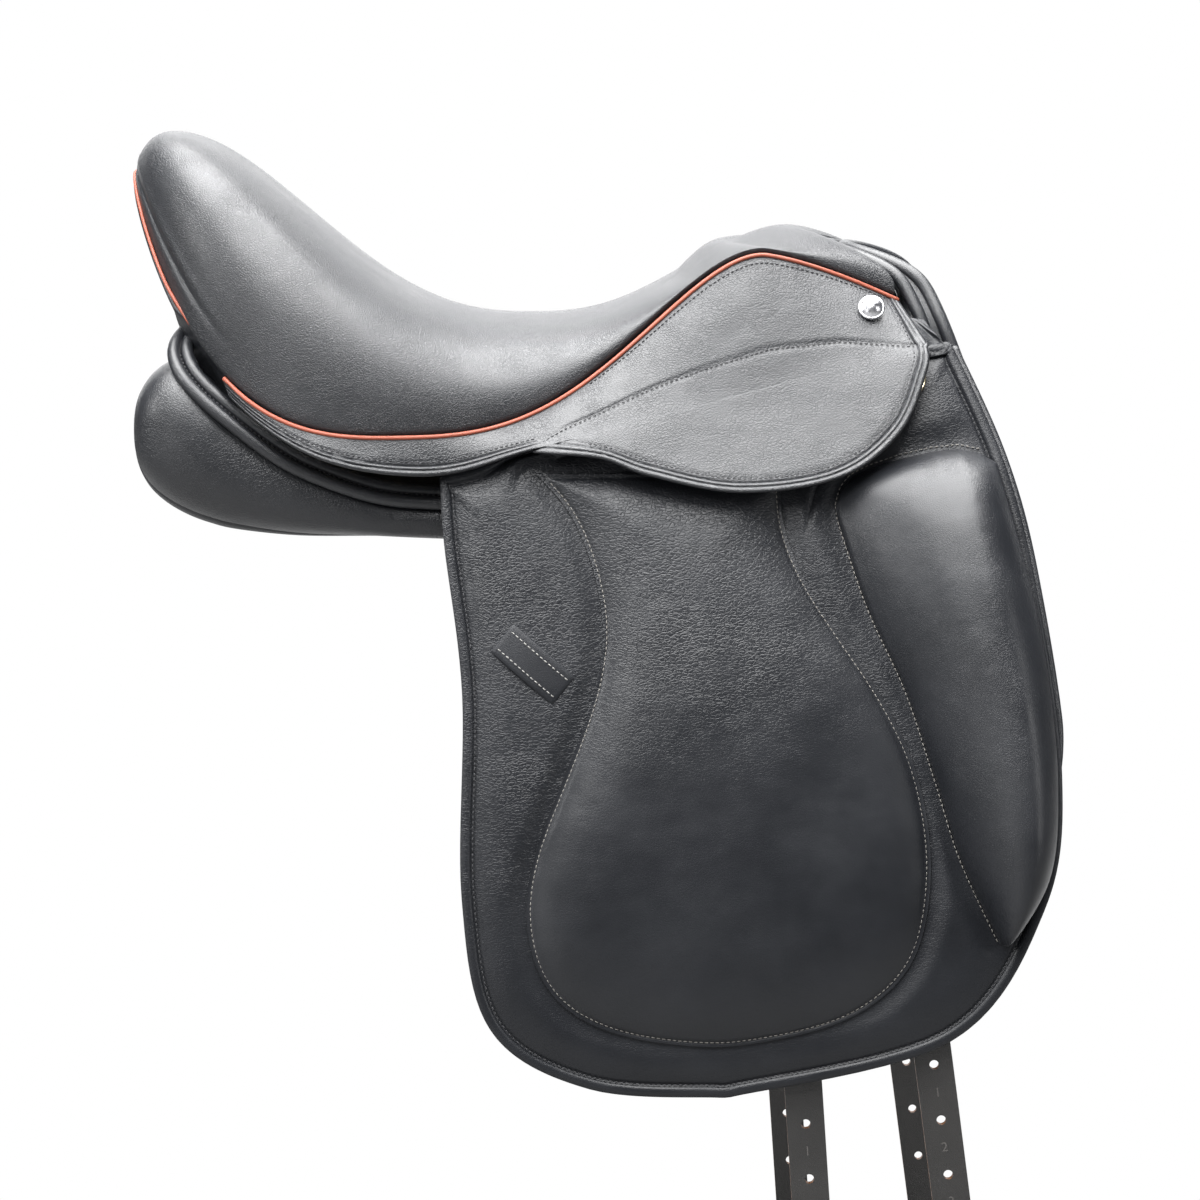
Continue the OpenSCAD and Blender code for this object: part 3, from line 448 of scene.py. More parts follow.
def leather(name, colour, rough, cell, depth, fold=0.0, mask=None, shine=0.5):
    """Grained leather with cells of two widths in millimetres, along X and Y and along Z."""
    m, t, b, place = material(name)
    big = cloud(t, place, 16.0, 3.0, 0.6)
    fine = cloud(t, place, 1500.0, 2.0, 0.6)
    grid = scaled(t, place, [1 / MM / c for c in (cell[0], *cell)])
    shift = node(t, "TexNoise", {"Vector": grid, "Scale": 0.55, "Detail": 2.0}).outputs["Color"]
    warp = node(t, "VectorMath", {0: shift, 1: (1.5, 1.5, 1.5), 2: grid}, operation="MULTIPLY_ADD")
    cells = node(t, "TexVoronoi", {"Vector": warp.outputs[0], "Scale": 1.0},
                 feature="DISTANCE_TO_EDGE").outputs["Distance"]
    dome = node(t, "MapRange", {"Value": cells, "From Max": 0.2}, interpolation_type="SMOOTHSTEP")
    amount = ramp(t, cloud(t, place, 45.0, 2.0), 0.55, 1.25, 0.3, 0.7)
    if mask:
        amount = product(t, amount, mask(t, node(t, "SeparateXYZ", {"Vector": place}), big))
    grain = product(t, product(t, dome.outputs[0], amount), 0.85)
    surface = emboss(t, b, math_node(t, "ADD", grain, product(t, fine, 0.16)), depth)
    if fold:
        emboss(t, b, cloud(t, scaled(t, place, (30, 30, 36)), 1.0, 2.0, 0.45), fold, under=surface)
    tint(t, b, ramp(t, big, 0.0, 0.4, 0.35, 0.75), shaded(colour, 1), shaded(colour, 1.8, 0.003))
    t.links.new(ramp(t, big, rough - 0.05, rough + 0.06, 0.3, 0.7), b.inputs["Roughness"])
    b.inputs["Specular IOR Level"].default_value = shine
    return m


def strap_leather(name, colour, raw):
    """Strap leather with raw brown edges and hole walls: faces that don't look along Y."""
    m = leather(name, colour, 0.45, (1.4, 1.4), 0.00008)
    t = m.node_tree
    b = next(n for n in t.nodes if n.type == "BSDF_PRINCIPLED")
    tone = b.inputs["Base Color"].links[0].from_socket
    normal = node(t, "TexCoord").outputs["Normal"]
    y = node(t, "SeparateXYZ", {"Vector": normal}).outputs["Y"]
    tint(t, b, ramp(t, math_node(t, "ABSOLUTE", y), 1.0, 0.0, 0.35, 0.55), tone, (*raw, 1))
    return m


def two_tone(name, colour, dark, rough, pattern, distance, strength):
    """Thread, cloth or wood. The pattern gives the share of the light tone and the relief."""
    m, t, b, place = material(name)
    share, height = pattern(t, place)
    tint(t, b, share, shaded(colour, dark), shaded(colour, 1))
    b.inputs["Roughness"].default_value = rough
    emboss(t, b, height, distance, strength)
    return m


def thread(name, colour):
    def twist(t, place):
        return [cloud(t, place, 2600.0, 2.0)] * 2

    return two_tone(name, colour, 0.7, 0.75, twist, 0.0002, 0.6)


def metal(name, colour, rough):
    m, t, b, place = material(name)
    wear = cloud(t, place, 260.0, 5.0, 0.7)
    t.links.new(ramp(t, wear, rough * 0.7, rough * 1.5, 0.3, 0.7), b.inputs["Roughness"])
    b.inputs["Base Color"].default_value = (*colour, 1)
    b.inputs["Metallic"].default_value = 1.0
    emboss(t, b, wear, 0.0001, 0.15)
    return m


def weave(name, colour):
    def threads(t, place):
        waves = [node(t, "TexWave", {"Vector": place, "Scale": 300.0, "Distortion": 0.4},
                      bands_direction=way).outputs["Fac"] for way in "XY"]
        height = product(t, *waves)
        return product(t, height, cloud(t, place, 60.0, 3.0)), height

    return two_tone(name, colour, 0.6, 0.9, threads, 0.0004, 0.8)


def wood(name, colour):
    def grain(t, place):
        lines = node(t, "TexNoise", {"Vector": scaled(t, place, (12, 120, 120)), "Scale": 1.0, "Detail": 5.0,
                                     "Distortion": 0.8}).outputs["Fac"]
        return ramp(t, lines, 0, 1, 0.35, 0.65), lines

    return two_tone(name, colour, 0.55, 0.55, grain, 0.0003, 0.4)


def flap_mask(t, xyz, n):
    """Full grain on the flap, fading low down and towards its front edge."""
    low = ramp(t, xyz.outputs["Z"], 0.3, 1.0, -0.26, -0.12)
    return product(t, low, ramp(t, xyz.outputs["X"], 1.0, 0.45, 0.17, 0.26))


def pad_mask(t, xyz, n):
    """Full grain on the upper part of the pad, ironed smooth below."""
    low = ramp(t, math_node(t, "ADD", xyz.outputs["Z"], product(t, n, 0.06)), 0.16, 1.0, -0.11, -0.02)
    return product(t, low, ramp(t, xyz.outputs["X"], 1.0, 0.3, 0.13, 0.2))


BLACK = (0.0082, 0.0089, 0.0107)
# Leathers: colour, roughness, cells, grain depth, fold depth, mask and shine
LEATHERS = {
    "seat": (BLACK, 0.39, (1.3, 1.3), 0.00016, 0.0003),
    "skirt": (BLACK, 0.40, (1.8, 1.5), 0.00015, 0.0012),
    "flap": (BLACK, 0.38, (3.2, 1.7), 0.00018, 0.0012, flap_mask, 0.27),
    "pad": (BLACK, 0.37, (3.2, 1.7), 0.00018, 0.0012, pad_mask, 0.32),
    "smooth": (BLACK, 0.35, (1.2, 1.2), 0.00006, 0.0010, None, 0.36),
    "strip": (BLACK, 0.42, (1.2, 1.2), 0.00006, 0.0, None, 0.2),
    "panel": (BLACK, 0.40, (2.0, 1.6), 0.00011, 0.0012),
    "roll": (BLACK, 0.34, (1.2, 1.2), 0.00008),
    "lining": ((0.02, 0.02, 0.021), 0.6, (1.4, 1.4), 0.0001),
    "piping": ((0.19, 0.040, 0.018), 0.55, (0.9, 0.9), 0.00006),
}
MATERIALS = {name: leather(f"{name}_leather", *form) for name, form in LEATHERS.items()}
MATERIALS.update({
    "strap": strap_leather("strap_leather", (0.02, 0.019, 0.018), (0.17, 0.075, 0.032)),
    "grey_thread": thread("grey_thread", (0.17, 0.16, 0.145)),
    "pale_thread": thread("pale_thread", (0.25, 0.245, 0.23)),
    "dark_thread": thread("dark_thread", (0.03, 0.03, 0.033)),
    "stamp": thread("stamped_mark", (0.09, 0.085, 0.08)),
    "nickel": metal("polished_nickel", (0.60, 0.60, 0.62), 0.26),
    "brass": metal("pale_brass", (0.80, 0.70, 0.48), 0.2),
    "steel": metal("brushed_steel", (0.56, 0.57, 0.58), 0.32),
    "web": weave("web_cloth", (0.55, 0.50, 0.40)),
    "wool": weave("wool_filling", (0.66, 0.63, 0.55)),
    "foam": weave("seat_foam", (0.70, 0.62, 0.40)),
    "wood": wood("stained_beech", (0.10, 0.050, 0.024)),
})


# Mesh building
def quads(rows, columns, closed=False, base=0):
    """Faces of a grid of points, row after row. A closed grid joins its last column to its first."""
    faces = []
    for i in range(rows - 1):
        for j in range(columns if closed else columns - 1):
            k = (j + 1) % columns
            corners = (i * columns + j, i * columns + k, (i + 1) * columns + k, (i + 1) * columns + j)
            faces.append(tuple(base + q for q in corners))
    return faces


def flipped(faces):
    return [tuple(reversed(f)) for f in faces]


def facing(verts, faces, toward):
    """How much faces look along a direction, or along the one that a function gives for a point."""
    p = np.asarray(verts)
    total = 0.0
    for f in faces:
        a, b, c = p[f[0]], p[f[1]], p[f[2]]
        total += float(np.dot(np.cross(b - a, c - a), toward(a) if callable(toward) else toward))
    return total


def outward(verts, faces, toward):
    return faces if facing(verts, faces, toward) > 0 else flipped(faces)


def shell(face, back, hint, edge=1.0, rounds=3):
    """A closed skin between two grids, the back one given as a grid or as the way to it.
    Its rims are rounded by edge, a number or a function of the grid place."""
    rounding = edge if callable(edge) else lambda i, j: edge
    face = np.asarray(face, float)
    back = face + back if np.ndim(back) == 1 else np.asarray(back, float)
    m, n = face.shape[:2]
    loop = [(0, j) for j in range(n)] + [(i, n - 1) for i in range(1, m)]
    loop += [(m - 1, j) for j in range(n - 2, -1, -1)] + [(i, 0) for i in range(m - 2, 0, -1)]
    verts = [*face.reshape(-1, 3), *back.reshape(-1, 3)]
    faces = outward(verts, quads(m, n), hint)
    lower = flipped([[q + m * n for q in f] for f in faces])
    rings = [[i * n + j for i, j in loop]]
    for s in range(1, rounds + 1):
        a = math.pi * s / (rounds + 1)
        rings.append(range(len(verts), len(verts) + len(loop)))
        for i, j in loop:
            p, q = face[i, j], back[i, j]
            out = unit(p - face[min(max(i, 1), m - 2), min(max(j, 1), n - 2)])
            bulge = out * np.linalg.norm(p - q) / 2 * rounding(i, j)
            verts.append((p + q) / 2 + (p - q) / 2 * math.cos(a) + bulge * math.sin(a))
    rings.append([m * n + i * n + j for i, j in loop])
    rim = []
    for near, far in zip(rings, rings[1:]):
        for c in range(len(loop)):
            d = (c + 1) % len(loop)
            rim.append((near[c], far[c], far[d], near[d]))
    centre = face.reshape(-1, 3).mean(0)
    return verts, faces + lower + outward(verts, rim, lambda p: p - centre)


def tube(path, d, sections=14):
    """A round cord along a path, with domed ends."""
    path = np.asarray(path, float)
    n = len(path)
    runs = [unit(path[min(k + 1, n - 1)] - path[max(k - 1, 0)]) for k in range(n)]
    verts = []
    for p, run in zip(path, runs):
        side = unit(np.cross(run, (0.05, 0.1, 1.0)))
        top = np.cross(side, run)
        for q in range(sections):
            a = 2 * math.pi * q / sections
            verts.append(p + d / 2 * (math.cos(a) * side + math.sin(a) * top))
    faces = quads(n, sections, True)
    for k, s in ((0, 1), (n - 1, -1)):
        cap = [(k * sections + q, len(verts), k * sections + (q + 1) % sections) for q in range(sections)]
        verts.append(path[k] - s * runs[k] * d * 0.3)
        faces += cap if s > 0 else flipped(cap)
    return verts, faces


STITCH_FORM = ((-0.5, 0.25), (-0.4, 0.8), (0.0, 1.0), (0.4, 0.8), (0.5, 0.25))


def stitch_row(path, normals, pitch=3.1, length=2.0, r=0.34, sink=0.1):
    """Small rounded stitches along a path on a surface, with one normal or one for each point."""
    path = np.asarray(path, float)
    normals = np.broadcast_to(np.asarray(normals, float), path.shape)
    run = lengths(path)
    count = max(int(run[-1] / pitch), 1)
    sides = 6
    verts, faces = [], []
    for k in range(count):
        s = (k + 0.5) * run[-1] / count
        p = at_length(path, run, s)
        tan = unit(at_length(path, run, min(s + 0.6, run[-1])) - at_length(path, run, max(s - 0.6, 0)))
        nor = unit(at_length(normals, run, s))
        side = unit(np.cross(nor, tan))
        base = len(verts)
        for f, w in STITCH_FORM:
            for q in range(sides):
                a = 2 * math.pi * q / sides
                spoke = w * r * (math.cos(a) * side + math.sin(a) * nor)
                verts.append(p + tan * f * length + spoke - nor * sink)
        faces += quads(len(STITCH_FORM), sides, True, base)
        faces.append(tuple(range(base + sides - 1, base - 1, -1)))
        faces.append(tuple(range(len(verts) - sides, len(verts))))
    return verts, faces


def join(parts):
    verts, faces = [], []
    for v, f in parts:
        k = len(verts)
        verts += list(v)
        faces += [tuple(i + k for i in q) for q in f]
    return verts, faces


def polar(outline, centre, rings, place, under, inside, squeeze):
    """A skin inside a closed outline: rings at given distances from its edge, then on to the centre.
    place gives the point for a spot and its distance from the edge, and under the point on the back.
    squeeze has a value for each point of the outline, and brings the rings closer there."""
    n = len(outline)
    tan = unit(np.roll(outline, -1, axis=0) - np.roll(outline, 1, axis=0))
    nor = np.stack([-tan[:, 1], tan[:, 0]], axis=1)
    ray = unit(centre - outline)
    if (nor * ray).sum() < 0:
        nor = -nor
    cosine = np.maximum((nor * ray).sum(axis=1), 0.45)
    reach = np.linalg.norm(centre - outline, axis=1)
    spots = [(outline + ray * (d * squeeze / cosine)[:, None], d * np.ones(n)) for d in rings]
    for f in np.linspace(0, 1, inside + 1)[1:-1]:
        go = mix(rings[-1] * squeeze / cosine, reach, f)
        spots.append((outline + ray * go[:, None], go * cosine))
    verts = [place(*p, d) for points, far in spots for p, d in zip(points, far)]
    tip, last = len(verts), len(verts) - n
    verts.append(place(*centre, float((reach * cosine).min())))
    faces = quads(len(spots), n, True) + [(last + j, last + (j + 1) % n, tip) for j in range(n)]
    faces = outward(verts, faces, vec(0, 1, 0))
    k = len(verts)
    inner, middle = k + n, k + 2 * n
    verts += [under(*p) for p in np.vstack([outline, mix(outline, centre, 0.5), [centre]])]
    back = []
    for j in range(n):
        q = (j + 1) % n
        back.append((j, q, k + q, k + j))
        back.append((k + j, k + q, inner + q, inner + j))
        back.append((inner + j, inner + q, middle))
    if facing(verts, [f for f in back if f[0] >= k], vec(0, 1, 0)) > 0:
        back = flipped(back)
    return verts, faces + back


# Objects, the bodies they ride on and the CAD parts they hide
def shade_smooth(mesh, on=True):
    mesh.polygons.foreach_set("use_smooth", [on] * len(mesh.polygons))


def dress(mesh, mat):
    mesh.materials.clear()
    mesh.materials.append(MATERIALS[mat])


def add(name, mesh, mat):
    dress(mesh, mat)
    o = bpy.data.objects.new(name, mesh)
    scene.collection.objects.link(o)
    return o


def declare(o, body, replaced):
    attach(o, body)
    if replaced:
        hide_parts(*replaced)


def build(name, shape, mat, body, replaced, slot, fill=None, sign=1.0, rounded=True):
    """A piece from points in millimetres, mirrored where the sign is negative."""
    verts, faces = shape
    v = np.asarray(verts, float) * MM
    if sign < 0:
        v = v * vec(1, -1, 1)
        faces = flipped(faces)
    mesh = bpy.data.meshes.new(name)
    mesh.from_pydata(v.tolist(), [], [tuple(int(i) for i in f) for f in faces])
    mesh.validate()
    mesh.update()
    if rounded:
        shade_smooth(mesh)
        mesh.set_sharp_from_angle(angle=math.radians(sharp_angle))
    declare(add(name, mesh, mat), body, replaced)


def soften(node_name, name, mat, body, width=0.0006):
    """The CAD form of a leather or cloth piece with rounded edges."""
    o = add(name, NODES[node_name].data.copy(), mat)
    weld = o.modifiers.new("weld", "WELD")
    weld.merge_threshold = 0.00001
    edge = o.modifiers.new("edge", "BEVEL")
    edge.width = width
    edge.segments = 2
    edge.limit_method = "ANGLE"
    edge.angle_limit = math.radians(bevel_angle)
    graph = bpy.context.evaluated_depsgraph_get()
    mesh = bpy.data.meshes.new_from_object(o.evaluated_get(graph))
    o.modifiers.clear()
    o.data = mesh
    shade_smooth(mesh)
    declare(o, body, [node_name])


# Seat cover
rim_line = np.array([vec(x, half_of(x, 0), welt_of(x)) for x in np.linspace(seat_rear, -60, 400)])


def seat_row(t, columns, d):
    """A row across the seat, with closer steps near its edges, which are tucked under the skirts."""
    row = [seat_point(t, 0.55 * w + 0.45 * math.sin(math.pi / 2 * w), d) for w in steps(-1, 1, columns)]
    first, last = (p + vec(0, -math.copysign(1.2, p[1]), -3.4) for p in (row[0], row[-1]))
    return [first] + row + [last]


def seat_seam(p, inside):
    """Crease that follows the welt round the back of the seat, fading towards its middle."""
    if p[0] > -130:
        return p
    far = distance(rim_line, vec(p[0], abs(p[1]), p[2]))
    fade = (1 - smooth((p[0] + 212) / 44)) * smooth((abs(p[1]) - 8) / 22)
    depth = 1.9 * hump(far, crease_in, 1.7) - 0.9 * hump(far, crease_in + 5, 3.5)
    return p + unit(inside - p) * fade * (depth - 0.7 * hump(far, crease_in - 5.5, 3))


def seat_cover():
    rows, columns = ((170, 190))
    outer = [seat_row(t, columns, 0) for t in steps(0, 1, rows)]
    inner = [seat_row(t, columns, cover_t - 0.4) for t in steps(0, 1, rows)]
    outer = [[seat_seam(p, q) for p, q in zip(a, b)] for a, b in zip(outer, inner)]
    for grid, out in ((outer, 0.6), (inner, 0.2)):
        middle = np.mean(grid[0][1:-1], axis=0)
        grid.insert(0, [mix(p, middle, 0.97) - vec(out, 0, 0) for p in grid[0]])
    return shell(outer, inner, vec(0, 0, 1), 0.3)


# Cantle piping and back
def cantle_line(a):
    up = cantle_lift * math.cos(math.radians(a)) ** 6
    return rim_point(a, piping_d / 2 + 1.4 - up, 1.6 - 0.12 * up - 3.4 * smooth((abs(a) - 36) / 13))


def cantle_cord():
    return tube([cantle_line(a) for a in steps(-cantle_cord_end, cantle_cord_end, 120)], cantle_cord_d)


def cantle_back():
    """Leather under the cantle cord, deepest in the middle and tucked in at both ends."""
    face = []
    for v in steps(0, 1, 16):
        row = []
        for a in steps(-cantle_back_end, cantle_back_end, 56):
            bow, peak = math.cos(math.radians(a)) ** 6, math.cos(math.radians(a)) ** 12
            tucked = smooth((abs(a) - 40) / 8)
            p = rim_point(a, mix(piping_d + 3, -1.5, tucked) - 9 * bow, mix(-1, -2.5, tucked))
            drop = 1 + 88 * peak + (1 - peak) * mix(22, 40, tucked)
            ahead = v * 0.38 * drop + 3 * math.sin(math.pi * v) * bow
            row.append(p + vec(ahead, -v * p[1] * drop / 600, -v * drop) - vec(2, 0, 2))
        face.append(row)
    return shell(face, vec(2, 0, 2), vec(-1, 0, 0))


# Front arch
head_x = welt_end_x + 6
leg_top = vec(welt_end_x, pommel_width / 2, welt_end_z)
near_leg = [leg_top + vec(17, -5, -20), leg_top + vec(22, 0, -44)]
far_leg = [leg_top + vec(30, -3, -22), leg_top + vec(42, 4, -54)]


def pommel_front():
    face = []
    for d in steps(2.6, 29, 14):
        ahead = mix(0.7, 3.5, smooth((d - 5) / 7))
        face.append([seat_point(1, u, d) + vec(ahead, 0, 0) for u in steps(-0.97, 0.97, 60)])
    return shell(face, vec(-0.6, 0, 0), vec(1, 0, 0))


def front_roll(forward, drop, leg):
    """Line of a front roll: up one leg, over the arch and down the other."""
    top = []
    for k in range(-5, 6):
        p = seat_point(1, k / 5.5, 6)
        s = abs(p[1]) / half_of(welt_end_x, 0)
        top.append(p + vec(forward + 3 * s * s, 0, -drop))
    points = [p * vec(1, -1, 1) for p in reversed(leg)] + top + leg
    return ironed(even([along(points, t) for t in steps(0, 1, 160)], 141), 12)


def front_arch():
    """Both rolls, the leather between them and that from the near one back to the flaps' upper parts."""
    near = front_roll(front_roll_d / 2 + 1.2, 0, near_leg)
    far = front_roll(1.5 * front_roll_d + 6, 1, far_leg)
    webs = [np.stack(steps(near, far, 6), axis=1)]
    low = vec(head_x, hinge_at(head_x)[1] - flap_set_in - 1, hinge_at(head_x)[2] - 6)
    for side, leg in ((-1, near[:30][::-1]), (1, near[-30:])):
        starts = steps(head_top(head_x, 6), low, 29)
        webs.append(np.array([steps(p * vec(1, side, 1), q, 6) for p, q in zip(starts, leg)]))
    skins = [shell(web, vec(-1.2, 0, 0), vec(1, 0, 0.3), 0.2, 1) for web in webs]
    return join([tube(line, front_roll_d, 16) for line in (near, far)] + skins)


# Lining over the channel
def lining(d):
    ends = [panel_point(t, -186, -d) for t in steps(3, 12, 40)]
    return [[vec(x, y * j / 6, z + 0.6 * (4 - (j / 3) ** 2)) for j in range(-6, 7)] for x, y, z in ends]


# Welt
def welt_cord():
    start = -175
    path = [welt_point(x, piping_d / 2 + 7 * gap, mix(-2, 1, smooth((x - start) / 14)))
            for x in steps(start, welt_end_x + 4, 140)]
    return tube(path, welt_cord_d)


# Upper skirt, with a beaded edge along its tail
skirt_last = 150
skirt_at = [k / 130 * 0.968 for k in range(131)] + [0.968 + 0.032 * k / 20 for k in range(1, 21)]
skirt_over = [welt_point(mix(skirt_tail, welt_end_x + 5, f), piping_d + 1.0, 1.5) for f in skirt_at]
skirt_under = [skirt_low(mix(skirt_tail, lobe_nose, f)) for f in skirt_at]
skirt_inward = vec(0, 0.6 - skirt_t, 0)
hem_marks = [0, 0.5, 1.0, 1.5, 2.0, 2.5, 3.0, 3.5, 4.0, 4.6, 5.2, 5.8, 6.4, 7.0, 7.8, 8.8, 10]


def hem(d):
    """Relief at a distance from the edge: two beads, a crease and the sewn line."""
    beads = bead(d, -0.4, 3.2, 1.5) + bead(d, 2.8, 2.7, 1.2)
    return beads + dent(d, 5.9, 0.8, 0.7) + dent(d, hem_seam, 0.9, 0.35)


def hem_steps(full, n):
    """Distances from the edge, from the top of a row down to 0, closer over the hem."""
    marks = [min(d, full * d / 20) for d in hem_marks]
    return reversed(marks + steps(marks[-1], full, n)[1:])


def skirt_line(i, f):
    return mix(skirt_over[i], skirt_under[i], f)


def skirt_point(i, f, out=0.0):
    """Point of row i on the swelled skirt, from the welt at 0 to the lower edge at 1."""
    swell = 11 * f * (1 - f) ** 2 * smooth((skirt_at[i] * 22 - 4) / 8)
    return skirt_line(i, f) + vec(0, swell + out, 0)


def skirt_row(i):
    """Length of row i, and 1 where its lower edge is the tail's free edge."""
    full = np.linalg.norm(skirt_under[i] - skirt_over[i])
    return full, 1 - smooth((skirt_under[i][0] - lobe_tail + 2) / 10)


def skirt_seam(x):
    """Height of the seam across the skirt."""
    return np.interp(x, [0, 22, 43, 72, 102, 143, 185, 232], [54, 66, 75, 88, 99, 111, 115, 112])


def skirt_upper():
    face = []
    nose = skirt_line(-1, 0.5)
    for i in range(skirt_last + 1):
        full, tailing = skirt_row(i)
        fore = np.linalg.norm(nose - skirt_line(i, 0.5))
        row = []
        for d in hem_steps(full, 36):
            p = skirt_point(i, 1 - d / full)
            h = max(tailing * hem(d), hem(fore), key=abs)
            h += smooth((p[0] - 8) / 20) * dent(p[2], skirt_seam(p[0]) + 0.4, 1.3, 0.8)
            row.append(p + vec(0, h, 0.35 * h))
        face.append(row)

    def rim(i, j):
        return 0.6 if i == skirt_last or (skirt_under[i][0] < lobe_tail and j > 0) else 0.0

    return shell(face, skirt_inward, vec(0, 1, 0.3), rim)


def skirt_tail_stitches():
    line = []
    for i in range(skirt_last + 1):
        full, tailing = skirt_row(i)
        if full > 12 and tailing > 0.5:
            line.append(skirt_point(i, 1 - hem_seam / full))
    return stitch_row(line, unit(vec(0, 1, 0.5)))


def skirt_seam_stitches():
    """Rows under the welt, along the seam and down the front end."""
    seam = []
    for i, (over, under) in enumerate(zip(skirt_over, skirt_under)):
        f = 0.5
        for _ in range(6):
            x = mix(over, under, f)[0]
            f = min(max((over[2] - skirt_seam(x)) / max(over[2] - under[2], 1), 0), 1)
        if x > 8 and 0.05 < f < 0.97:
            seam.append(skirt_point(i, f, 0.1))
    top = [skirt_line(i, 0.05) + vec(0, 0.9, 0.2) for i in range(70, skirt_last - 12)]
    fore = [skirt_point(skirt_last - 11, k / 24, 0.2) for k in range(3, 25)]
    return join([stitch_row(line, unit(vec(0, 1, 0.6))) for line in (top, seam, fore)])


# Skirt lobe, running on from the upper skirt without a crease
skirt_x = [u[0] for u in skirt_under]
skirt_slope = [(u[1] - o[1]) / max(o[2] - u[2], 4) for o, u in zip(skirt_over, skirt_under)]


def lobe_out(p):
    h = hinge_at(p[0])
    drop = h[2] + gap - p[1]
    turn = np.interp(p[0], skirt_x, skirt_slope) - lobe_lean
    return h[1] + lobe_lean * drop + turn * drop * math.exp(-max(drop, 0) / 14) - 0.15 * smooth(-drop)


def lobe_rows():
    """Upper end, lower end and length of each row."""
    for f in steps(0, 1, skirt_last):
        x = mix(lobe_tail, lobe_nose, f)
        top, low = vec(x, hinge_at(x)[2] + gap + 1.5), along(lobe_line, f)
        yield top, low, np.linalg.norm(top - low)


def skirt_lobe():
    face = []
    for top, low, full in lobe_rows():
        row = []
        for d in hem_steps(full, 20):
            p = mix(top, low, 1 - d / full)
            h = hem(d) * min(1.0, full / 5)
            under_tail = 3.0 * (1 - smooth((p[0] - lobe_tail) / 16))
            row.append(vec(p[0], lobe_out(p) + h - under_tail, p[1] + 0.4 * h))
        face.append(row)
    return shell(face, skirt_inward, vec(0, 1, 0.3), lambda i, j: 0.6 if j > 0 else 0.0)


def skirt_lobe_stitches():
    spots = [mix(top, low, 1 - hem_seam / full) for top, low, full in lobe_rows() if full > 14]
    return stitch_row([vec(p[0], lobe_out(p) - 0.2, p[1]) for p in spots], unit(vec(0, 1, 0.6)))


# Head stud: share of its radius, and height, ring by ring
STUD_FORM = (
    (0.0, -1.5), (0.86, -1.2), (0.97, -0.7), (1.0, 0.1), (0.97, 0.8), (0.9, 1.2), (0.86, 1.1), (0.8, 1.6),
    (0.7, 2.6), (0.55, 3.6), (0.38, 4.4), (0.2, 4.9), (0.0, 5.1))


def stud():
    x, radius, lean, sides = welt_end_x - 16, 8.0, math.radians(30), 48
    at = mix(welt_point(x, piping_d + 2 * gap, 1.5), skirt_low(x + 8), 0.3) + vec(0, 6.4, 0)
    tip, east = vec(0, math.cos(lean), math.sin(lean)), vec(1, 0, 0)
    north = np.cross(east, tip)
    verts = []
    for r, h in STUD_FORM:
        for k in range(sides):
            a = 2 * math.pi * k / sides
            verts.append(at + tip * h + max(r, 0.002) * radius * (math.cos(a) * east + math.sin(a) * north))
    return verts, outward(verts, quads(len(STUD_FORM), sides, True), tip)


# Flap with a rolled border, open at the stirrup bar
flap_rings = [0, 0.7, 1.6, 2.6, 3.6, 4.6, 5.4, 6.1, 6.8, 7.6, 8.6, 10, 13, 18, 26]


def flap_place(x, z, d):
    near = min(distance(pad_outline, vec(x, z)), distance(block_seam, vec(x, z)) - 1)
    border = bead(d, -0.6, 6.8, 2.0) - 0.5 + dent(d, border_seam, 1.0, 0.9)
    h = border + 3.2 * smooth((d - 6) / 16) * smooth(near / 14)
    return raised(x, z, h)


def flap():
    rear, fore = ([vec(x, hinge_at(x)[2] - 2) for x in part] for part in ((-40, 20, 70), (212, 236)))
    head = rear + [vec(99, 44), vec(172, 44)] + fore
    outline = even(np.vstack([heel, toe[::-1], head[::-1]]), 420, True)
    hidden = [smooth((x + 36) / 30) * smooth((250 - x) / 30) * smooth((z - 20) / 15) for x, z in outline]
    return polar(outline, flap_centre, flap_rings, flap_place,
                 lambda x, z: on_flap(x, z, -flap_t + 0.4), 60, 1 - 0.85 * np.array(hidden))


def sewn_on_flap(spots, out):
    return stitch_row([on_flap(*p, out) for p in spots], [flap_normal(*p) for p in spots])


def flap_border_stitches():
    return sewn_on_flap(beside(even(np.vstack([heel[4:], toe[:3:-1]]), 600), border_seam), 0.2)


def flap_front_roll():
    edge = even(toe[1:34], 120)
    path = [on_flap(x + 0.8 - 6 * smooth((k - 95) / 24), z, -4.2) for k, (x, z) in enumerate(edge)]
    return tube(path, flap_cord_d, 12)


# Thigh pad
def pad_place(x, z, d):
    h = 0.7 + 9.5 * (1 - math.exp(-max(d - pad_seam, 0) / 17)) + dent(d, 2.6, 0.9, 0.7)
    return raised(x, z, h * smooth((d + 2.2) / 2.2))


def eased(n, edge):
    """Steps from 0 to 1, closer at both ends."""
    return ([edge * k / 8 for k in range(8)] + steps(edge, 1 - edge, n)
            + [1 - edge * (1 - k / 8) for k in range(1, 9)])


def thigh_pad():
    face = []
    for v in eased(90, 0.035):
        rear, front = along(pad_rear, v), along(pad_front, v)
        spots = [mix(rear, front, u) for u in eased(56, 0.07)]
        face.append([pad_place(*p, distance(pad_outline, p)) for p in spots])
    back = [[on_flap(p[0], p[2], 0.2) for p in row] for row in face]
    return shell(face, back, vec(0, 1, 0), 0.2, 1)


def thigh_pad_stitches():
    path = beside(even(pad_edge[8:-8], 420), pad_seam)
    normals = [flap_normal(*p) for p in path]
    return stitch_row([pad_place(*p, pad_seam) + 0.5 * n for p, n in zip(path, normals)], normals)


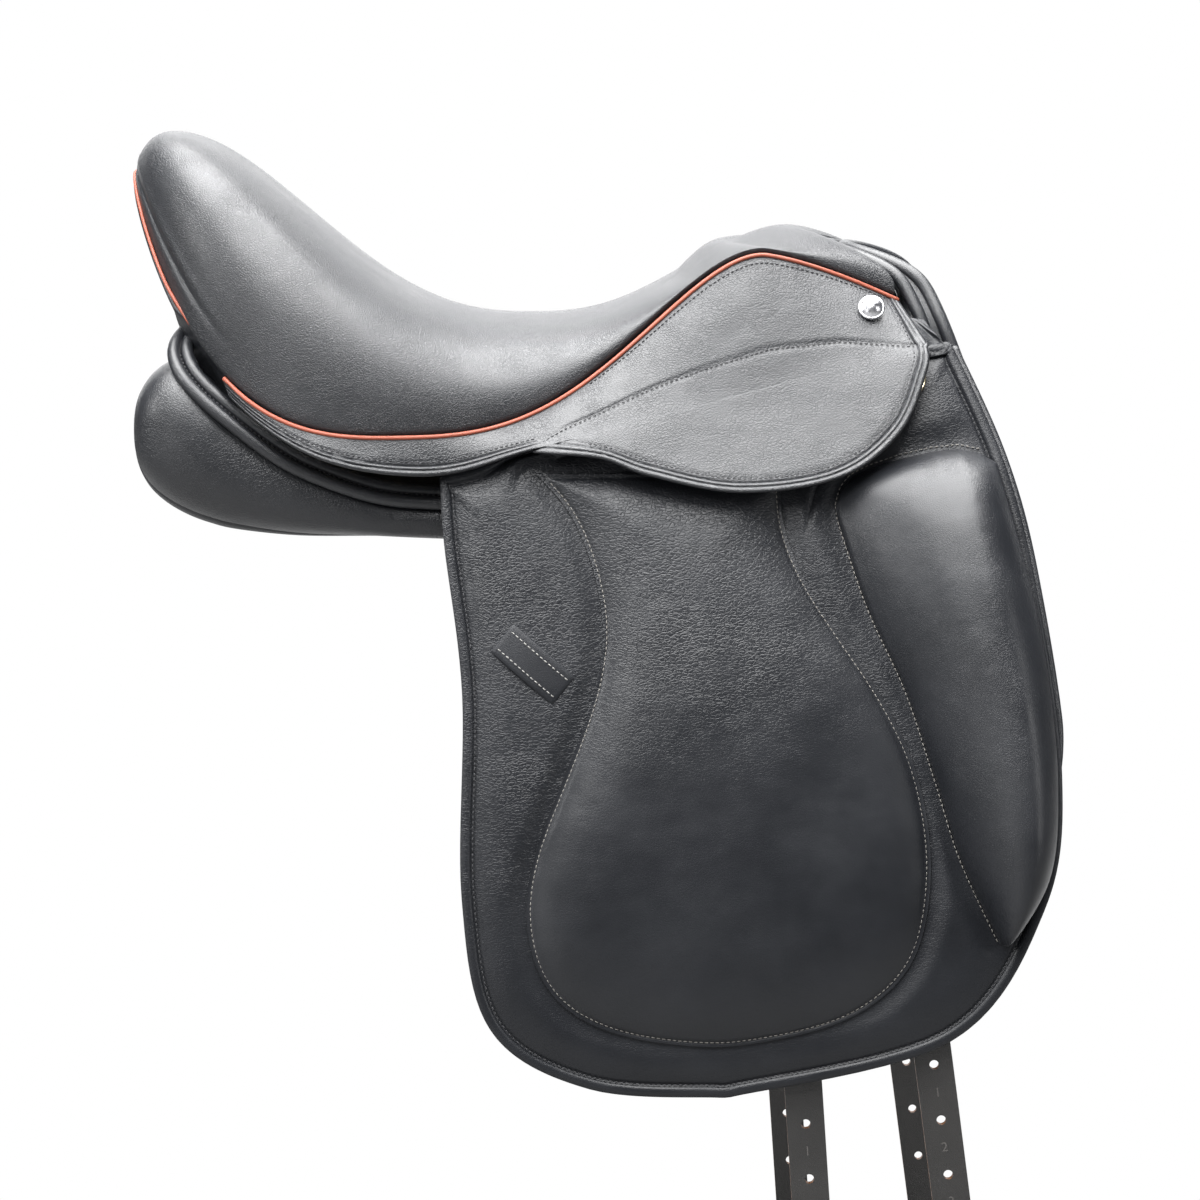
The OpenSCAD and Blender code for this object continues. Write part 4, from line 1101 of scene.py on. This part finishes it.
# Knee block
def block_point(v, u):
    """Place on the flap and height above it."""
    p = mix(along(block_back, v), along(block_fore, v), u) + vec(0, block_crown(u) * (1 - v) ** 3)
    ends = math.sqrt(max(0, 1 - abs(2 * v - 1) ** (6 if v < 0.5 else 3)))
    swell = math.sin(math.pi / 2 * min(u / 0.72, 1)) ** 0.8
    front = math.sqrt(max(0, 1 - max(0, (u - 0.72) / 0.28) ** 2))
    return p, 0.6 + block_height * ends * swell * front


def knee_block():
    rows, columns = 72, 60
    face, back = [], []
    for i in range(rows + 1):
        v = 0.5 - 0.5 * math.cos(math.pi * i / rows)
        spots = [block_point(v, u) for u in steps(0, 1, columns)]
        face.append([on_flap(*p, 0.5 + h) for p, h in spots])
        back.append([on_flap(*p, 0.5) for p, h in spots])
    return shell(face, back, vec(0, 1, 0), 0.2, 1)


# Keeper
keeper_at, keeper_turn = vec(4, hinge_a[2] - 108), math.radians(-40)


def keeper_point(u, w, up, reach=1.0):
    """Point above the arched strip, u along it and w across it from -1 to 1."""
    run, across = (vec(math.cos(a), math.sin(a)) for a in (keeper_turn, keeper_turn + math.pi / 2))
    p = keeper_at + run * u * keeper_length / 2 * reach + across * w * keeper_width / 2
    return on_flap(*p, 0.4 + 1.4 * (1 - u * u) + up)


def keeper():
    face, back = [], []
    for u in steps(-1, 1, 24):
        face.append([keeper_point(u, w, keeper_t - 0.5 * abs(w) ** 6) for w in steps(-1, 1, 12)])
        back.append([keeper_point(u, w, 0) for w in steps(-1, 1, 12)])
    return shell(face, back, vec(0, 1, 0), 0.5)


def keeper_stitches():
    rows = [[keeper_point(u, w, keeper_t, 0.94) for u in steps(-1, 1, 24)] for w in (-0.62, 0.62)]
    return join([stitch_row(row, flap_normal(*keeper_at), 3.0, 2.1, 0.36, -0.1) for row in rows])


# Upper part of the flap under the skirt, and the gathered leather in front of it
fold_z = (103, 108)


def flap_head():
    face = []
    for x in steps(hinge_a[0] + 2, head_x, 60):
        h = hinge_at(x)
        face.append(steps(head_top(x, -4 * gap), vec(x, h[1] - flap_set_in, h[2] - 2 + gap), 8))
    return shell(face, vec(0, 0.4 - flap_t, 0), vec(0, 1, 0.3), 0.2)


def flap_fold():
    face = []
    for f in steps(0, 1, 40):
        low = on_flap(mix(226, 251, f), mix(*fold_z, f), 1.6)
        high = vec(mix(221, 236, f), mix(74, 73, f), mix(128, 126, f))
        row = []
        for g in steps(0, 1, 30):
            arch = math.sin(math.pi * g)
            ruche = 1.6 * math.sin(13 * f + 5 * g + 2.2 * math.sin(4 * g + 3 * f)) * arch ** 0.7
            row.append(mix(low, high, g) + vec(0, 2.5 * arch + ruche, 0))
        face.append(row)
    return shell(face, vec(0, -1.6, 0), vec(0, 1, 0.2), 0.8)


def flap_head_stitches():
    line = [on_flap(mix(227, 250, f), mix(*fold_z, f) + 2.0, 2.8) for f in steps(0, 1, 20)]
    return stitch_row(line, unit(vec(0, 1, 0.3)))


# Panel with its lower seam
seam_angle = -58.0


def panel():
    rows = [k / 6 for k in range(6 * 18)] + [18, 18.25, 18.5, 18.75, 18.9, 19]
    angles = sorted(set([-180 + 5 * k for k in range(72)] + [seam_angle + k for k in range(-16, 5)]))
    n = len(angles)
    depth = [1.5 * hump(a, seam_angle, 1.5) - 1.2 * hump(a, seam_angle - 8, 5) for a in angles]
    verts = [panel_point(t, a, d, True) for t in rows for a, d in zip(angles, depth)]
    faces = quads(len(rows), n, True)
    y, z = panel_row(10, True)[1:3]
    if facing(verts, faces[58 * n:62 * n], lambda p: p - vec(p[0], y, z)) < 0:
        faces = flipped(faces)
    return verts, faces


def panel_stitches():
    at = steps(2.0, 12.5, 200)
    line = [panel_point(t, seam_angle, 0.8, True) for t in at]
    return stitch_row(line, [panel_point(t, seam_angle, -4, True) - p for t, p in zip(at, line)])


# Rolls along the panel, with their upper ends tucked behind the cantle
def panel_roll(place):
    line = [place(t) for t in steps(0.27, 1, 140)]
    lead = [line[0] + vec(*r) for r in ((5, -34, 22), (-2, -22, 17), (-4, -10, 10))] + [line[0], line[6]]
    return ironed(even([along(lead, k / 40) for k in range(31)] + line, 150), 160)


low_roll, high_roll = panel_roll(roll_at), panel_roll(roll_beside)
roll_out = unit(vec(0, 0.8, 0.6))


# Numbers stamped between the strap holes
def strap_numbers(x, lean, first, count, sign):
    """Numbers along a strap that leans by an angle, from its first hole on, readable from outside."""
    lx, lz = math.sin(math.radians(lean)), -math.cos(math.radians(lean))
    verts, faces = [], []
    for k in range(count - 1):
        text = bpy.data.curves.new("number", "FONT")
        text.body = str(k + 1)
        text.size = number_size * MM
        text.align_x = "CENTER"
        text.align_y = "CENTER"
        text.extrude = number_relief * MM
        holder = bpy.data.objects.new("number", text)
        scene.collection.objects.link(holder)
        graph = bpy.context.evaluated_depsgraph_get()
        mesh = bpy.data.meshes.new_from_object(holder.evaluated_get(graph))
        bpy.data.objects.remove(holder)
        run = first + (k + 0.5) * billet_pitch
        middle = vec(x + run * lx, billet_face, billet_top + run * lz)
        base = len(verts)
        for v in mesh.vertices:
            a, b, h = (c / MM for c in v.co)
            verts.append(middle + vec(-lz, 0, lx) * a * -sign + vec(-lx, 0, -lz) * b + vec(0, h, 0))
        faces += [tuple(base + i for i in f.vertices) for f in mesh.polygons]
        bpy.data.meshes.remove(mesh)
    return verts, outward(verts, faces, vec(0, 1, 0))


# Pieces in the middle
GRAIN, SMOOTH = "grain_leather", "smooth_leather"
build("seat_cover_leather", seat_cover(), "seat", "saddle", ["seat_cover"], "seat_leather", 0.85)
build("cantle_cord", cantle_cord(), "piping", "saddle", ["cantle_piping"], "piping")
build("cantle_back_leather", cantle_back(), "smooth", "saddle", ["cantle_back"], SMOOTH)
build("pommel_front_leather", pommel_front(), "smooth", "saddle", ["pommel_facing"], SMOOTH)
build("front_arch_rolls", front_arch(), "roll", "saddle", ["front_rolls"], SMOOTH, 0.9)
build("channel_cover", shell(lining(gap + 2), lining(gap), vec(0, 0, 1)), "lining", "saddle",
      ["channel_lining"], "lining_leather")
dress(NODES["tree"].data, "wood")
dress(NODES["gullet_plate"].data, "steel")
soften("strainer_webs", "strainer_web_straps", "web", "saddle")
soften("belly_web", "belly_web_strap", "web", "saddle")
soften("seat_foam", "seat_foam_block", "foam", "saddle", 0.002)

# Pieces on each side: those that keep their CAD form, then those with a shape made here
KEPT = (("tree_point", "wood"), ("stirrup_bar", "steel"), ("bar_rivets", "steel"), ("bar_catch", "steel"),
        ("catch_pin", "steel"), ("dee", "brass"), ("front_billet", "strap"), ("rear_billet", "strap"))
# Each row: name, shape, material, body, nodes replaced, slot and, where it is padded, fill
UPPER_PIECES = (
    ("welt_cord", welt_cord(), "piping", "saddle", ["welt"], "piping"),
    ("skirt_upper", skirt_upper(), "skirt", "saddle", ["skirt_top"], GRAIN),
    ("skirt_tail_stitches", skirt_tail_stitches(), "dark_thread", "saddle", [], GRAIN),
    ("skirt_seam_stitches", skirt_seam_stitches(), "dark_thread", "saddle", [], GRAIN),
    ("skirt_lobe_leather", skirt_lobe(), "skirt", "skirt", ["skirt_lobe"], GRAIN),
    ("skirt_lobe_stitches", skirt_lobe_stitches(), "dark_thread", "skirt", [], GRAIN),
    ("stud_dome", stud(), "nickel", "saddle", ["stud"], "nickel"),
    ("flap_leather", flap(), "flap", "flap", ["flap"], GRAIN),
    ("flap_border_stitches", flap_border_stitches(), "dark_thread", "flap", [], GRAIN),
    ("flap_front_roll", flap_front_roll(), "roll", "flap", [], GRAIN),
    ("thigh_pad_leather", thigh_pad(), "pad", "flap", ["thigh_pad"], GRAIN, 0.7),
    ("thigh_pad_stitches", thigh_pad_stitches(), "grey_thread", "flap", [], GRAIN),
    ("knee_block_leather", knee_block(), "smooth", "flap", ["knee_block"], SMOOTH, 0.85),
    ("knee_block_stitches", sewn_on_flap(block_seam, 0.4), "grey_thread", "flap", [], SMOOTH),
    ("keeper_strip", keeper(), "strip", "flap", ["keeper"], SMOOTH),
    ("keeper_stitches", keeper_stitches(), "pale_thread", "flap", [], SMOOTH),
    ("flap_head_leather", flap_head(), "flap", "saddle", ["flap_head"], GRAIN),
    ("flap_head_fold", flap_fold(), "flap", "saddle", [], GRAIN),
    ("flap_head_stitches", flap_head_stitches(), "dark_thread", "saddle", [], GRAIN),
)
PANEL_PIECES = (
    ("panel_skin", panel(), "panel", "saddle", ["panel_leather", "panel_lining"], SMOOTH, 0.85),
    ("panel_stitches", panel_stitches(), "dark_thread", "saddle", [], SMOOTH),
    ("panel_rolls", join([tube(line, back_roll_d, 16) for line in (low_roll, high_roll)]), "roll", "saddle",
     ["back_rolls"], SMOOTH, 0.9),
    ("roll_stitches", stitch_row((low_roll + high_roll) / 2 + roll_out * 2.2, roll_out), "dark_thread",
     "saddle", [], SMOOTH),
)


def build_side(pieces, side, sign):
    for name, shape, mat, body, replaced, slot, *fill in pieces:
        rider = body if body == "saddle" else f"{body}_{side}"
        nodes = [f"{n}_{side}" for n in replaced]
        build(f"{name}_{side}", shape, mat, rider, nodes, slot, *(fill or [None]), sign)


for side, sign in SIDES:
    for name, mat in KEPT:
        kept_mesh = NODES[f"{name}_{side}"].data
        dress(kept_mesh, mat)
        shade_smooth(kept_mesh, name == "dee")
    soften(f"billet_webs_{side}", f"billet_web_straps_{side}", "web", "saddle")
    soften(f"point_pocket_{side}", f"point_pocket_leather_{side}", "lining", "saddle")
    soften(f"dee_chape_{side}", f"dee_chape_leather_{side}", "smooth", f"flap_{side}", 0.0003)
    soften(f"panel_wool_{side}", f"panel_wool_fill_{side}", "wool", "saddle", 0.002)
    build_side(UPPER_PIECES, side, sign)
    for strap, x, lean, first, count in (("front", 194, 7.7, 323, 6), ("rear", 138, 4.0, 356, 5)):
        build(f"{strap}_billet_numbers_{side}", strap_numbers(x, lean, first, count, sign), "stamp",
              f"{strap}_billet_{side}", [], "strap_leather", None, sign, False)
    build_side(PANEL_PIECES, side, sign)

# Camera
lens = bpy.data.cameras.new("camera")
camera = bpy.data.objects.new("camera", lens)
scene.collection.objects.link(camera)
target, reach, tilt, half_view = Vector((0.043, 0, -0.053)), 2.6, math.radians(8), 0.372
camera.location = target + reach * Vector((0, -math.cos(tilt), math.sin(tilt)))
camera.rotation_euler = (target - camera.location).to_track_quat("-Z", "Y").to_euler()
lens.sensor_fit = "HORIZONTAL"
lens.angle = 2 * math.atan(half_view / reach)
scene.camera = camera


# Light
def white_to_camera(t, hidden, shown, output):
    """The shown shader for what the camera sees directly, and the hidden one for all other light."""
    ray = node(t, "LightPath").outputs["Is Camera Ray"]
    pick = node(t, "MixShader", {0: ray, 1: hidden.outputs[0], 2: shown.outputs[0]})
    node(t, output, {"Surface": pick.outputs[0]})


def area(name, at, aim, size, power, size_y=None):
    light = bpy.data.lights.new(name, "AREA")
    light.energy = power
    light.size = size
    if size_y:
        light.shape = "RECTANGLE"
        light.size_y = size_y
    o = bpy.data.objects.new(name, light)
    o.location = at
    o.rotation_euler = (Vector(aim) - Vector(at)).to_track_quat("-Z", "Y").to_euler()
    scene.collection.objects.link(o)


WHITE = (1, 1, 1, 1)
world = bpy.data.worlds.new("studio")
scene.world = world
world.use_nodes = True
sky = world.node_tree
sky.nodes.clear()
white_to_camera(sky, node(sky, "Background", {"Color": (0.9, 0.93, 1, 1), "Strength": 0.16}),
                node(sky, "Background", {"Color": WHITE, "Strength": 1.0}), "OutputWorld")
area("top_light", (-0.05, -0.1, 1.5), (0, 0, 0), 2.0, 255, 2.5)
area("back_light", (-2.3, -0.7, 0.9), (-0.1, 0, 0.05), 0.9, 34)
area("backdrop", (0, 2.3, 0.75), (0, 0, 0.1), 3.2, 33, 1.5)
area("front_light", (-1.0, -2.2, 1.5), (-0.15, -0.1, 0.15), 0.8, 26)
area("low_light", (-1.6, -2.0, -0.1), (-0.03, -0.2, -0.25), 1.0, 9)
area("fore_light", (2.1, -1.2, 0.5), (0.2, 0, -0.1), 0.8, 15)

# Floor
floor_gap = 0.004
bpy.ops.mesh.primitive_plane_add(size=30, location=(0, 0, cad_box[0].z - floor_gap))
floor = bpy.context.object
floor.name = "floor"
pale = bpy.data.materials.new("pale_floor")
pale.use_nodes = True
ground = pale.node_tree
ground.nodes.clear()
white_to_camera(ground, node(ground, "BsdfDiffuse", {"Color": (0.22, 0.22, 0.22, 1)}),
                node(ground, "Emission", {"Color": WHITE, "Strength": 1.0}), "OutputMaterial")
floor.data.materials.append(pale)
scene.view_settings.view_transform = "Standard"
